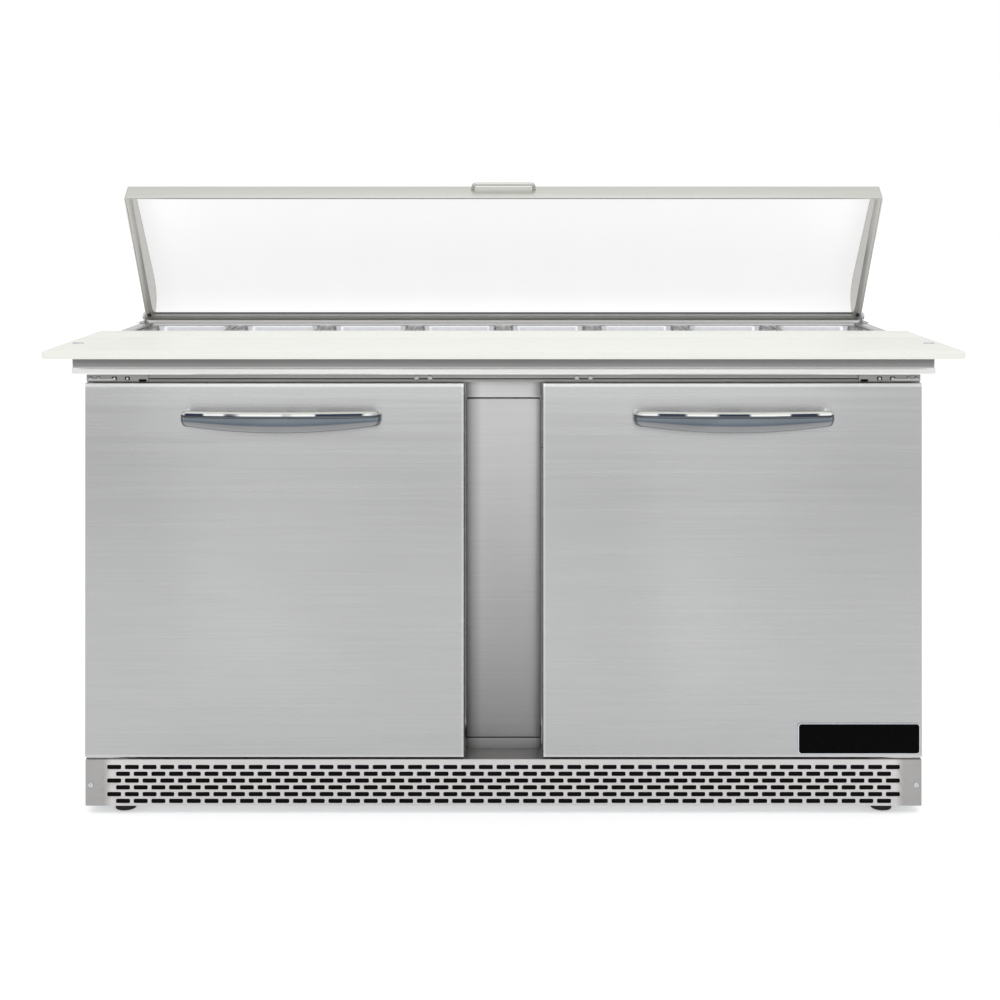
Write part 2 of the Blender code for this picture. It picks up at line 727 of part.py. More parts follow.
def door_handle(name, side):
    """Arched strap pull, drawn in plan and as tall as the strap."""
    inner_half = HANDLE_HALF - HANDLE_FOOT
    steps = 10
    outer = []
    inner = []
    for i in range(steps + 1):
        t = -1 + 2 * i / steps
        reach = HANDLE_REACH - HANDLE_BOW * t * t
        outer.append((HANDLE_HALF * t, -reach))
        inner.append((-inner_half * t, -reach + HANDLE_STRAP))
    points = [(-HANDLE_HALF, 0.0), *outer, (HANDLE_HALF, 0.0), (inner_half, 0.0), *inner, (-inner_half, 0.0)]
    place = (HANDLE_X[side], DOOR_FRONT - GAP, HANDLE_Z)
    handle = outline(f"{name}_handle", points, HANDLE_TALL, place, finish="chrome")
    return soften(handle, HANDLE_EDGE)


def nameplate():
    """Blank plate on the right door."""
    width, thick, tall = PLATE_SIZE
    front = DOOR_FRONT - GAP - thick
    return box("nameplate", (PLATE_X - width / 2, front, PLATE_Z - tall / 2),
               (PLATE_X + width / 2, front + thick, PLATE_Z + tall / 2), "black_plastic")


def door_hinge(name, side, sizes):
    """Bracket from the face frame to the pivot, with its pin in the door."""
    inner, low, leg_top, pin_low, pin_high = sizes
    back = BODY_FRONT - GAP
    plate = box(name, *mirrored(side, (inner, HINGE_FRONT, low), (HINGE_OUTER, back, low + HINGE_PLATE)),
                "brushed_steel")
    leg = box(name + "_leg", *mirrored(side, (inner, back - HINGE_LEG, low + HINGE_PLATE / 2),
                                       (HINGE_OUTER, back, leg_top)))
    pin = cylinder(name + "_pin", (side * PIVOT_X, PIVOT_Y, (pin_low + pin_high) / 2), PIN_R,
                   pin_high - pin_low, "Z", sides=16)
    return join(plate, leg, pin)


# ---------------------------------------------------------------- grille and feet

def front_grille():
    """Folded cover over the lower front with rows of staggered slots."""
    half = BODY_HALF
    cover = box("front_grille", (-half, GRILLE_FRONT, GRILLE_LOW), (half, BODY_FRONT - GAP, GRILLE_HIGH),
                "brushed_steel")
    hollow = box("grille_hollow", (-half + SHEET, GRILLE_FRONT + SHEET, GRILLE_LOW - PAST),
                 (half - SHEET, BODY_FRONT + PAST, GRILLE_HIGH - SHEET))
    slots = []
    wide, tall = GRILLE_SLOT
    pitch_x, pitch_z = GRILLE_PITCH
    for row in range(GRILLE_ROWS):
        z = (GRILLE_LOW + GRILLE_HIGH) / 2 + (row - (GRILLE_ROWS - 1) / 2) * pitch_z
        shift = pitch_x / 4 * (-1) ** row
        for column in range(GRILLE_COLUMNS):
            x = (column - (GRILLE_COLUMNS - 1) / 2) * pitch_x + shift
            slots.append(((x - wide / 2, GRILLE_FRONT - PAST, z - tall / 2),
                          (x + wide / 2, GRILLE_FRONT + PAST, z + tall / 2)))
    return cut(cover, hollow, boxes("grille_slots", slots))


def foot(name, x, y):
    """Round pad on a threaded stud."""
    edge = 0.002
    shoulder = 0.012
    pad_top = 0.015
    profile = [(0.0, STUD_TOP), (STUD_R, STUD_TOP), (STUD_R, pad_top + edge / 2), (FOOT_R - edge, pad_top),
               (FOOT_R, shoulder), (FOOT_R, edge), (FOOT_R - edge, 0.0), (0.0, 0.0)]
    return turned(name, profile, (x, y, 0.0), "black_plastic")


def feet():
    names = ("foot_front_left", "foot_front_right", "foot_rear_left", "foot_rear_right")
    for name, (x, y) in zip(names, foot_places()):
        foot(name, x, y)


# ---------------------------------------------------------------- refrigeration and shelves

def compressor():
    """Hermetic can on a base plate with four rubber feet."""
    x, y = COMPRESSOR_AT
    plate_x, plate_y = 0.095, 0.070
    plate_low, plate_high = 0.033, 0.038
    pad_x, pad_y = 0.080, 0.055
    pad_r = 0.010
    pad_low = BODY_BOTTOM_Z + TOP_SHEET + GAP
    pad_high = plate_low + 0.002
    can = turned("compressor", COMPRESSOR_PROFILE, (x, y, 0.0), "black_paint")
    plate = box("compressor_plate", (x - plate_x, y - plate_y, plate_low), (x + plate_x, y + plate_y, plate_high))
    pads = [cylinder(f"compressor_pad_{i}", (x + pad_x * sx, y + pad_y * sy, (pad_low + pad_high) / 2), pad_r,
                     pad_high - pad_low, "Z", sides=12)
            for i, (sx, sy) in enumerate([(-1, -1), (-1, 1), (1, -1), (1, 1)])]
    return join(can, plate, *pads)


def coil(name, corners, grooves):
    """Finned coil block with upright grooves in its front and back."""
    low, high = corners
    block = box(name, low, high, "coil_fins")
    pitch = (high[0] - low[0]) / grooves
    depth = 0.006
    margin = 0.010
    cuts = []
    for i in range(grooves):
        x = low[0] + (i + 0.5) * pitch
        for face in (low[1], high[1]):
            cuts.append(((x - pitch / 4, face - depth, low[2] + margin),
                         (x + pitch / 4, face + depth, high[2] - margin)))
    return cut(block, boxes(name + "_grooves", cuts))


def fan_motor(name, hub, radius, bracket_low, bracket_high):
    """Motor behind the blade on a plate, with its shaft towards the front."""
    x, y, z = hub
    shaft_long = 0.030
    can = cylinder(name, (x, y + MOTOR_BEHIND, z), radius, MOTOR_LONG, "Y", "black_paint")
    shaft = cylinder(name + "_shaft", (x, y + 0.4 * shaft_long, z), SHAFT_R, shaft_long, "Y", sides=12)
    plate = box(name + "_plate", bracket_low, bracket_high)
    return join(can, shaft, plate)


def fan_blade(name, hub, radius):
    """Hub with pitched flat blades, spinning about Y."""
    root = 0.012
    chord = 0.55 * radius
    bore = SHAFT_R + STUD_CLEARANCE
    pitch = math.radians(BLADE_PITCH_DEG)
    body = cylinder(name, hub, HUB_R, HUB_LONG, "Y", "black_plastic", sides=16)
    spin = pivot(name + "_pivot", hub)
    for i in range(FAN_BLADES):
        bm = bmesh.new()
        bmesh.ops.create_cube(bm, size=1.0)
        bmesh.ops.scale(bm, vec=(radius - root, BLADE_SHEET, chord), verts=bm.verts)
        bmesh.ops.transform(bm, matrix=Matrix.Rotation(pitch, 4, "X"), verts=bm.verts)
        bmesh.ops.translate(bm, vec=((radius + root) / 2, 0, 0), verts=bm.verts)
        bmesh.ops.transform(bm, matrix=Matrix.Rotation(math.tau * i / FAN_BLADES, 4, "Y"), verts=bm.verts)
        join(body, mesh_object(f"{name}_{i}", bm, hub, None))
    cut(body, cylinder(name + "_bore", hub, bore, HUB_LONG + PAST, "Y", sides=12))
    ride_on(spin, body)


def shelf(name, side):
    """Rod shelf: long rods between two end bars and a middle bar."""
    inner, outer = SHELF_EDGES
    front, back = SHELF_DEPTHS
    low = SHELF_LOW
    grid = box(name, *mirrored(side, (inner, front, low), (outer, back, low + SHELF_ROD)), "coated_wire")
    pitch = (outer - inner - SHELF_ROD) / SHELF_GAPS
    middle = (front + back) / 2
    gaps = []
    for i in range(SHELF_GAPS):
        x = inner + SHELF_ROD + i * pitch
        for y_low, y_high in ((front + SHELF_ROD, middle), (middle + SHELF_ROD, back - SHELF_ROD)):
            gaps.append(mirrored(side, (x, y_low, low - PAST), (x + pitch - SHELF_ROD, y_high, low + PAST)))
    return cut(grid, boxes(name + "_gaps", gaps))


def thermostat_knob():
    """Dial on the left wall with a pointer ridge."""
    x, y, z = KNOB_AT
    face = x + KNOB_THICK
    ridge_half = 0.003
    ridge_tall = 0.006
    ridge_down, ridge_up = 0.014, 0.016
    knob = cylinder("thermostat_knob", (x + KNOB_THICK / 2, y, z), KNOB_R, KNOB_THICK, "X", "black_plastic")
    ridge = box("knob_ridge", (face - 0.001, y - ridge_half, z - ridge_down),
                (face + ridge_tall, y + ridge_half, z + ridge_up))
    join(knob, ridge)
    ride_on(pivot("thermostat_pivot", KNOB_AT), knob)


def machinery():
    """Compressor and condenser in the machine space, evaporator on the cold back wall."""
    compressor()
    coil("condenser_coil", CONDENSER_COIL, CONDENSER_GROOVES)
    x, y, z = CONDENSER_FAN
    post_half = 0.030
    post_low = BODY_BOTTOM_Z + TOP_SHEET + GAP
    post_back = y + MOTOR_BEHIND + MOTOR_LONG / 2
    fan_motor("condenser_fan_motor", CONDENSER_FAN, CONDENSER_MOTOR_R,
              (x - post_half, post_back - 0.008, post_low), (x + post_half, post_back - 0.004, z + 2 * post_half))
    fan_blade("condenser_fan_blade", CONDENSER_FAN, CONDENSER_FAN_R)
    coil("evaporator_coil", EVAPORATOR_COIL, EVAPORATOR_GROOVES)
    x, y, z = EVAPORATOR_FAN
    bracket_half = (0.090, 0.065)
    back = y + MOTOR_BEHIND + MOTOR_LONG / 2
    fan_motor("evaporator_fan_motor", EVAPORATOR_FAN, EVAPORATOR_MOTOR_R,
              (x - bracket_half[0], back - 0.002, z - bracket_half[1]),
              (x + bracket_half[0], back + 0.004, z + bracket_half[1]))
    fan_blade("evaporator_fan_blade", EVAPORATOR_FAN, EVAPORATOR_FAN_R)


def build():
    clear_scene()
    for name, side in (("left", -1), ("right", 1)):
        side_panel(f"{name}_side_panel", side)
        door(f"{name}_door", side)
        door_hinge(f"hinge_top_{name}", side, HINGE_TOP)
        door_hinge(f"hinge_bottom_{name}", side, HINGE_BOTTOM)
        lid_hinge(f"lid_hinge_{name}", side)
        shelf(f"shelf_{name}", side)
    rear_panel()
    base_pan()
    foam_insulation()
    interior_liner()
    front_frame()
    mullion_cover()
    worktop()
    pan_divider_rack()
    pans()
    cutting_board()
    lid()
    front_grille()
    feet()
    machinery()
    thermostat_knob()


build()
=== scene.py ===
"""Looks of the sandwich prep table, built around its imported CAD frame."""

import json
import math

import bmesh
import bpy
from mathutils import Matrix, Vector


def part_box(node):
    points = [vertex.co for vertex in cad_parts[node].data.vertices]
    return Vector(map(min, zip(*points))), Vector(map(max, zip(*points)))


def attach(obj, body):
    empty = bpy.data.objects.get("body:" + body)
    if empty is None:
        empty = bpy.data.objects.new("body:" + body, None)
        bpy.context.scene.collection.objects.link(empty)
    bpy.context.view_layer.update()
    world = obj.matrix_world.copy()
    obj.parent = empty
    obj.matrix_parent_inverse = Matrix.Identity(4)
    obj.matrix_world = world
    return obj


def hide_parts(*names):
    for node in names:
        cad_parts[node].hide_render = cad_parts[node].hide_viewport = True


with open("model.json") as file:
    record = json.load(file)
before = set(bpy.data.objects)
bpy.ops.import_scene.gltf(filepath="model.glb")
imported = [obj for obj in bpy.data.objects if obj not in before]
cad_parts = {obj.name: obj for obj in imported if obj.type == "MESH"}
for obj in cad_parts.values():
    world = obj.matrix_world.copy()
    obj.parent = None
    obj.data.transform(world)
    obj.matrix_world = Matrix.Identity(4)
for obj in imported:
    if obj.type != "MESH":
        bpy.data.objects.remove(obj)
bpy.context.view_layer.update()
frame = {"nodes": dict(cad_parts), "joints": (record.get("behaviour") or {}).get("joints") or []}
JOINTS = {joint["name"]: joint for joint in frame["joints"]}
SIDES = {"left": -1, "right": 1}
QUARTER = math.pi / 2
CORNER_STEPS = 5  # segments in a quarter turn of a rounded corner


# ---------------------------------------------------------------- node materials

def put(tree, socket, value):
    """Gives an input a value, or joins it to another node's output."""
    if isinstance(value, bpy.types.NodeSocket):
        tree.links.new(value, socket)
    else:
        socket.default_value = value


def add_node(tree, kind, inputs=None, **settings):
    """A new node with its settings made and its inputs filled or joined."""
    node = tree.nodes.new("ShaderNode" + kind)
    for name, value in settings.items():
        setattr(node, name, value)
    for socket, value in (inputs or {}).items():
        put(tree, node.inputs[socket], value)
    return node


def shades(tree, value, stops):
    """Greys or colours given at rising values, blended between them."""
    first, last = stops[0][0], stops[-1][0]
    spread = add_node(tree, "MapRange", {"From Min": first, "From Max": last, "Value": value})
    ramp = add_node(tree, "ValToRGB", {"Fac": spread.outputs["Result"]})
    elements = ramp.color_ramp.elements
    for i, (place, shade) in enumerate(stops):
        spot = (place - first) / (last - first)
        stop = elements[i] if i < 2 else elements.new(spot)
        stop.position = spot
        stop.color = (*shade, 1.0) if hasattr(shade, "__len__") else (shade, shade, shade, 1.0)
    return ramp.outputs["Color"]


class Finish:
    """One node-based material, built up a step at a time."""

    def __init__(self, name, colour, metallic=0.0, roughness=0.5):
        self.name = name
        self.material = bpy.data.materials.new(name)
        self.material.use_nodes = True
        self.tree = self.material.node_tree
        self.shader = self.tree.nodes["Principled BSDF"]
        self.place = self.node("TexCoord").outputs["Object"]
        self.tint = (*colour, 1.0)
        self.relief = None
        self.set("Base Color", self.tint)
        self.set("Metallic", metallic)
        self.set("Roughness", roughness)

    def node(self, kind, inputs=None, **settings):
        return add_node(self.tree, kind, inputs, **settings)

    def set(self, socket, value):
        put(self.tree, self.shader.inputs[socket], value)

    def noise(self, scale, detail=3.0, roughness=0.5, distortion=0.0):
        """Noise with one scale, or its own along X, Y and Z, in cycles per metre."""
        scale = scale if hasattr(scale, "__len__") else (scale,) * 3
        mapping = self.node("Mapping", {"Scale": scale, "Vector": self.place})
        inputs = {"Scale": 1.0, "Detail": detail, "Roughness": roughness, "Distortion": distortion}
        return self.node("TexNoise", {**inputs, "Vector": mapping.outputs["Vector"]}).outputs["Fac"]

    def cells(self, scale):
        """Random grey per crystal-like cell."""
        texture = self.node("TexVoronoi", {"Scale": scale, "Vector": self.place})
        return self.node("SeparateColor", {"Color": texture.outputs["Color"]}).outputs["Red"]

    def stripes(self, scale):
        """Soft parallel bands across X."""
        return self.node("TexWave", {"Scale": scale, "Vector": self.place}).outputs["Fac"]

    def ramp(self, factor, low, high):
        """The factor, stretched from its usual 0.3 to 0.7 onto the given range."""
        inputs = {"From Min": 0.3, "From Max": 0.7, "To Min": low, "To Max": high, "Value": factor}
        return self.node("MapRange", inputs).outputs["Result"]

    def step(self, value, start, end):
        """0 before one value and 1 after another, with a soft rise between them."""
        inputs = {"From Min": start, "From Max": end, "Value": value}
        return self.node("MapRange", inputs, interpolation_type="SMOOTHSTEP").outputs["Result"]

    def part_of(self, vector, axis):
        """One part of a vector; |X| is the size of its X part."""
        part = self.node("SeparateXYZ", {"Vector": vector}).outputs[axis.strip("|")]
        if "|" in axis:
            part = self.node("Math", {0: part}, operation="ABSOLUTE").outputs["Value"]
        return part

    def band(self, axis, start, end):
        """0 before a place along an axis and 1 after it, in metres."""
        return self.step(self.part_of(self.place, axis), start, end)

    def both(self, first, second):
        """The product of two factors."""
        return self.node("Math", {0: first, 1: second}, operation="MULTIPLY").outputs["Value"]

    def mix(self, share, colour, blend="MIX"):
        """Mixes a colour into the base colour by a 0 to 1 share."""
        inputs = {"Factor": share, "A": self.tint, "B": colour}
        self.tint = self.node("Mix", inputs, data_type="RGBA", blend_type=blend).outputs["Result"]
        self.set("Base Color", self.tint)

    def vary_colour(self, factor, low, high):
        """Multiplies the base colour by a grey between low and high."""
        self.mix(1.0, self.ramp(factor, low, high), "MULTIPLY")

    def shade_along(self, value, stops):
        """Multiplies the base colour by greys or colours given at rising values."""
        self.mix(1.0, shades(self.tree, value, stops), "MULTIPLY")

    def vary_roughness(self, factor, low, high):
        self.set("Roughness", self.ramp(factor, low, high))

    def bump(self, factor, height):
        """Relief of the given height in metres, on top of any before it."""
        inputs = {"Strength": 1.0, "Distance": height, "Height": factor}
        if self.relief:
            inputs["Normal"] = self.relief
        self.relief = self.node("Bump", inputs).outputs["Normal"]
        self.set("Normal", self.relief)

    def grain_along(self, direction, strength):
        """Stretched highlights, as brushing along a direction gives."""
        turn = self.node("VectorTransform", {"Vector": direction}, vector_type="VECTOR",
                         convert_from="OBJECT", convert_to="WORLD")
        self.set("Tangent", turn.outputs["Vector"])
        self.set("Anisotropic", strength)
        self.set("Anisotropic Rotation", 0.25)


# Painted light and shade: greys that multiply a brushed sheet's colour at places along an axis, in metres.
SHEET_PAINTED_LIGHT = {
    "door_steel": {
        "Z": ((0.1005, 1.20), (0.1040, 1.15), (0.1060, 0.93),  # painted highlight on the lower edge
              (0.35, 0.98), (0.55, 1.0), (0.66, 1.06), (0.72, 1.16),  # painted light, brighter towards the top
              (0.7525, 1.24), (0.7540, 1.72), (0.7590, 1.80), (0.76, 1.5)),  # painted highlight on the upper fold
        "|X|": ((0.07, 1.24), (0.0725, 1.20), (0.0750, 1.0), (0.2, 1.0)),  # painted highlight on the fold by the middle gap
    },
    "frame_steel": {  # shade under the skirt
        "Z": ((0.7560, 1.0), (0.7600, 0.66), (0.7720, 0.58), (0.7800, 0.45)),
    },
    "post_steel": {  # painted shade, darker down the recess and beside the doors' sides
        "Z": ((0.10, 0.40), (0.17, 0.46), (0.53, 0.84), (0.72, 1.02), (0.80, 1.06)),
        "X": ((-0.08, 0.36), (-0.066, 0.38), (-0.056, 0.66), (-0.040, 1.0),
              (0.058, 1.0), (0.066, 0.62), (0.08, 0.40)),
    },
    "grille_steel": {  # painted shade on the plain ends, which are darker
        "|X|": ((0.0, 1.0), (0.692, 1.0), (0.705, 0.62), (0.738, 0.60)),
    },
}

# Painted light on the worktop's front skirt: the heights where each colour starts and is full, in metres.
SKIRT_PAINTED_LIGHT = ((0.7885, 0.7865, (0.81, 0.81, 0.80, 1.0)),  # painted highlight on the hem
                 (0.7855, 0.7905, (0.30, 0.30, 0.30, 1.0)),  # shade of the board
                 (0.7895, 0.8000, (0.20, 0.20, 0.20, 1.0)))  # its deepest part
SKIRT_FRONT = (-0.2310, -0.2325)  # Y where the skirt's painted light starts and is full

# Painted reflection on the plating: what it mirrors, by the upward part of its normal.
CHROME_PAINTED_REFLECTION = (
    (-1.0, (0.34, 0.35, 0.36)), (-0.60, (0.30, 0.305, 0.31)), (-0.17, (0.24, 0.245, 0.25)),  # floor
    (-0.12, (0.10, 0.12, 0.145)), (-0.04, (0.165, 0.19, 0.22)), (0.06, (0.20, 0.227, 0.25)),  # room
    (0.14, (0.26, 0.29, 0.315)), (0.17, (0.02, 0.022, 0.03)), (0.21, (0.03, 0.03, 0.035)),  # horizon
    (0.26, 1.05), (0.60, 1.5), (1.0, 1.0))  # ceiling


def brushed(name, colour, roughness, along="X", strength=0.85):
    """Brushed stainless sheet: fine and broad streaks along one axis, and faint smears."""
    index = "XYZ".index(along)
    fine, broad, direction = [620.0] * 3, [70.0] * 3, [0.03, 0.05, 0.04]
    fine[index], broad[index], direction[index] = 5.0, 0.8, 1.0
    made = Finish(name, colour, metallic=1.0)
    streaks = made.noise(fine, detail=2.0, roughness=0.6)
    bands = made.noise(broad, detail=4.0, roughness=0.65)
    smears = made.noise(5.0, detail=4.0, roughness=0.6, distortion=0.4)
    made.vary_colour(streaks, 0.965, 1.03)
    made.vary_colour(bands, 0.978, 1.018)
    made.vary_colour(smears, 0.988, 1.010)
    made.vary_roughness(bands, roughness - 0.03, roughness + 0.04)
    made.bump(streaks, 0.000007)
    made.grain_along(direction, strength)
    for axis, stops in SHEET_PAINTED_LIGHT.get(name, {}).items():
        made.shade_along(made.part_of(made.place, axis), stops)
    return made


def metal(name, colour, roughness, wobble=0.000004):
    """Smooth bright metal with faint handling marks."""
    made = Finish(name, colour, metallic=1.0)
    marks = made.noise(38.0, detail=5.0, roughness=0.6)
    made.vary_colour(marks, 0.97, 1.02)
    made.vary_roughness(marks, roughness * 0.7, roughness * 1.5)
    made.bump(made.noise(420.0, detail=2.0), wobble)
    return made


def moulded(name, colour, roughness, grain=900.0, height=0.00003, variation=0.02):
    """Moulded plastic or rubber with a fine texture."""
    made = Finish(name, colour, roughness=roughness)
    made.vary_colour(made.noise(14.0, detail=4.0), 1.0 - variation, 1.0 + variation)
    made.vary_roughness(made.noise(60.0, detail=4.0), roughness - 0.06, roughness + 0.08)
    made.bump(made.noise(grain, detail=2.0), height)
    return made


def top_finish():
    """Brushed worktop sheet, with a painted highlight on its hem and the board's painted shadow on its front
    skirt.
    """
    made = brushed("top_steel", (0.56, 0.56, 0.553), 0.28)
    front = made.band("Y", *SKIRT_FRONT)
    for start, full, colour in SKIRT_PAINTED_LIGHT:
        made.mix(made.both(made.band("Z", start, full), front), colour)
    return made


def chrome_finish():
    """Bright plating with a painted reflection: a pale ceiling above, a broken dark horizon and a cool room
    below.
    """
    made = metal("chrome", (0.92, 0.925, 0.93), 0.05, wobble=0.000001)
    slope = made.part_of(made.node("NewGeometry").outputs["Normal"], "Z")
    made.shade_along(slope, CHROME_PAINTED_REFLECTION)
    # painted reflection: dark patches break up the horizon line
    skyline = made.both(made.step(slope, 0.20, 0.24), made.step(slope, 0.52, 0.40))
    blocks = made.step(made.noise((16.0, 3.0, 3.0), detail=1.0), 0.50, 0.56)
    made.mix(made.both(skyline, blocks), (0.03, 0.04, 0.07, 1.0))
    return made


def board_finish():
    """Cream polyethylene with a faint tooth and knife marks."""
    made = moulded("board", (0.78, 0.785, 0.735), 0.46, grain=650.0, height=0.00005, variation=0.01)
    cuts = made.noise((4.0, 260.0, 260.0), detail=1.0, distortion=1.5)
    made.vary_colour(cuts, 0.992, 1.006)
    made.bump(cuts, 0.00003)
    made.set("Subsurface Weight", 0.08)
    made.set("Subsurface Radius", (0.01, 0.009, 0.007))
    made.set("Subsurface Scale", 0.2)
    return made


def galvanised_finish():
    """Zinc-coated sheet with its crystal pattern."""
    made = Finish("galvanised", (0.50, 0.52, 0.54), metallic=0.9)
    crystals = made.cells(95.0)
    made.vary_colour(crystals, 0.90, 1.06)
    made.vary_roughness(crystals, 0.36, 0.50)
    made.vary_colour(made.noise(4.0, detail=5.0), 0.95, 1.03)
    made.bump(made.noise(300.0), 0.00002)
    return made


def fin_finish():
    """Close aluminium fins, with painted shade in the gaps between them."""
    made = Finish("fins", (0.66, 0.67, 0.68), metallic=1.0)
    # painted shade: dark stripes between the fins
    fins = made.stripes(140.0)
    made.vary_colour(fins, 0.25, 1.05)
    made.vary_roughness(made.noise(40.0), 0.32, 0.48)
    made.bump(fins, 0.0008)
    return made


def make_materials():
    """Every material of the table, by the name of its finish."""
    made = [
        brushed("door_steel", (0.465, 0.467, 0.472), 0.25),
        brushed("frame_steel", (0.46, 0.46, 0.46), 0.30),
        brushed("post_steel", (0.56, 0.56, 0.56), 0.30),
        # painted shade: a darker copy of the steel for the rail and hinge flanges under the skirt; the lid
        # panel's trim uses it too
        brushed("header_steel", (0.33, 0.33, 0.322), 0.36),
        brushed("side_steel", (0.46, 0.463, 0.468), 0.30, along="Y"),
        brushed("grille_steel", (0.60, 0.585, 0.58), 0.34, strength=0.3),
        brushed("lid_steel", (0.565, 0.57, 0.535), 0.38, strength=0.3),
        brushed("cheek_steel", (0.56, 0.55, 0.52), 0.34, along="Y", strength=0.3),
        # painted light: a brighter copy of the steel, so the rack stays pale between the pans where shade
        # falls
        brushed("rack_steel", (0.78, 0.79, 0.80), 0.34, along="Y"),
        metal("pan_steel", (0.62, 0.632, 0.652), 0.20),
        metal("hinge_steel", (0.50, 0.50, 0.50), 0.30),
        metal("bolt_steel", (0.58, 0.60, 0.64), 0.22),
        metal("copper", (0.72, 0.36, 0.22), 0.30),
        moulded("white_liner", (0.86, 0.87, 0.885), 0.30, 300.0, 0.000006, 0.004),
        moulded("lid_liner", (0.27, 0.27, 0.27), 0.40, 260.0, 0.00001, 0.003),
        moulded("gasket", (0.10, 0.10, 0.105), 0.55),
        moulded("black_rubber", (0.006, 0.006, 0.0065), 0.66, 700.0, 0.00008),
        moulded("black_plastic", (0.012, 0.012, 0.014), 0.32),
        moulded("black_paint", (0.016, 0.016, 0.018), 0.36, 500.0, 0.00006),
        moulded("foam", (0.78, 0.70, 0.48), 0.85, 240.0, 0.0006, 0.08),
        moulded("filter", (0.006, 0.006, 0.007), 0.90, 500.0, 0.0008),
        moulded("coated_wire", (0.62, 0.63, 0.64), 0.35, 260.0, 0.00006),
        moulded("plate_black", (0.0012, 0.0012, 0.0015), 0.25, 200.0, 0.000005),
        top_finish(), chrome_finish(), board_finish(), galvanised_finish(), fin_finish(),
    ]
    finishes = {finish.name: finish for finish in made}
    for name in ("plate_black", "filter"):
        finishes[name].set("Specular IOR Level", 0.03)
    # painted light: the lid's inner panel glows though it is no lamp, so its dark base colour reads white
    finishes["lid_liner"].set("Emission Color", (1.0, 1.0, 1.0, 1.0))
    finishes["lid_liner"].set("Emission Strength", 0.755)
    return {name: finish.material for name, finish in finishes.items()}


MATERIALS = make_materials()


# ---------------------------------------------------------------- mesh helpers

def to_object(name, bm, finish, smooth):
    """An object from a bmesh, shaded smooth up to an angle in degrees."""
    bmesh.ops.recalc_face_normals(bm, faces=bm.faces)
    mesh = bpy.data.meshes.new(name)
    bm.to_mesh(mesh)
    bm.free()
    mesh.materials.append(MATERIALS[finish])
    mesh.shade_smooth()
    mesh.set_sharp_from_angle(angle=math.radians(smooth))
    obj = bpy.data.objects.new(name, mesh)
    bpy.context.scene.collection.objects.link(obj)
    return obj


def settle(obj, body, node=None):
    """Ride on a body and stand for a CAD node."""
    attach(obj, body)
    if node:
        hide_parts(node)


def box_edges(node):
    """x0, x1, y0, y1, z0, z1 of a CAD node."""
    low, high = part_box(node)
    return low.x, high.x, low.y, high.y, low.z, high.z


def corner_loop(low, high, radius, steps=CORNER_STEPS):
    """(u, v) points of a rounded rectangle between two corners."""
    radius = max(1e-5, min(radius, (high[0] - low[0]) / 2 - 1e-5, (high[1] - low[1]) / 2 - 1e-5))
    points = []
    for quarter, (right, top) in enumerate(((1, 1), (0, 1), (0, 0), (1, 0))):
        u = high[0] - radius if right else low[0] + radius
        v = high[1] - radius if top else low[1] + radius
        for i in range(steps + 1):
            turn = QUARTER * (quarter + i / steps)
            points.append((u + radius * math.cos(turn), v + radius * math.sin(turn)))
    return points


def lay(plane, u, v, w):
    """A point from its place in a plane and its distance along the plane's normal."""
    return Vector({"XY": (u, v, w), "XZ": (u, w, v), "YZ": (w, u, v)}[plane])


def skin(rings, closed=False, cap_first=True, cap_last=True):
    """A bmesh with quads between rings of points that have equal counts."""
    bm = bmesh.new()
    loops = [[bm.verts.new(point) for point in ring] for ring in rings]
    pairs = list(zip(loops, loops[1:]))
    if closed:
        pairs.append((loops[-1], loops[0]))
    for first, second in pairs:
        for i in range(len(first)):
            j = (i + 1) % len(first)
            bm.faces.new((first[i], first[j], second[j], second[i]))
    if not closed and cap_first:
        bm.faces.new(loops[0])
    if not closed and cap_last:
        bm.faces.new(loops[-1])
    return bm


def skinned(name, rings, finish, body="cabinet", node=None, smooth=30.0, **ends):
    """A piece skinned over rings, on its body and in place of its CAD node."""
    settle(to_object(name, skin(rings, **ends), finish, smooth), body, node)


def rect_rings(plane, low, high, profile, corner):
    """Rounded rectangles pulled in by an inset at each distance: (inset, distance) pairs."""
    rings = []
    for inset, w in profile:
        a = (low[0] + inset, low[1] + inset)
        b = (high[0] - inset, high[1] - inset)
        rings.append([lay(plane, u, v, w) for u, v in corner_loop(a, b, corner - inset)])
    return rings


def roll(edge, face, direction, steps=3):
    """(inset, distance) pairs of a rolled edge from a flat face onto its side."""
    turns = [QUARTER * i / steps for i in range(steps + 1)]
    return [(edge * (1 - math.sin(turn)), face + direction * edge * (1 - math.cos(turn))) for turn in turns]


def block(name, low, high, edge, finish, plane="XY", corner=None, body="cabinet", node=None):
    """A block with rounded corners in a plane and rolled edges."""
    across, up, out = {"XY": (0, 1, 2), "XZ": (0, 2, 1), "YZ": (1, 2, 0)}[plane]
    corner = edge * 1.5 if corner is None else corner
    profile = roll(edge, low[out], 1) + roll(edge, high[out], -1)[::-1]
    rings = rect_rings(plane, (low[across], low[up]), (high[across], high[up]), profile, corner + edge)
    skinned(name, rings, finish, body, node, smooth=40.0)


def facing(centre, axis):
    """Place of a turned shape whose own axis points along X, Y or Z."""
    turn = {"X": Matrix.Rotation(QUARTER, 4, "Y"), "Y": Matrix.Rotation(-QUARTER, 4, "X"),
            "Z": Matrix.Identity(4)}[axis]
    return Matrix.Translation(centre) @ turn


def turned(name, profile, place, finish, body="cabinet", node=None, steps=24):
    """A turned shape from (radius, height) points, set in its place by a matrix."""
    rings = []
    for radius, height in profile:
        angles = [math.tau * i / steps for i in range(steps)]
        rings.append([place @ Vector((radius * math.cos(a), radius * math.sin(a), height)) for a in angles])
    skinned(name, rings, finish, body, node, smooth=35.0)


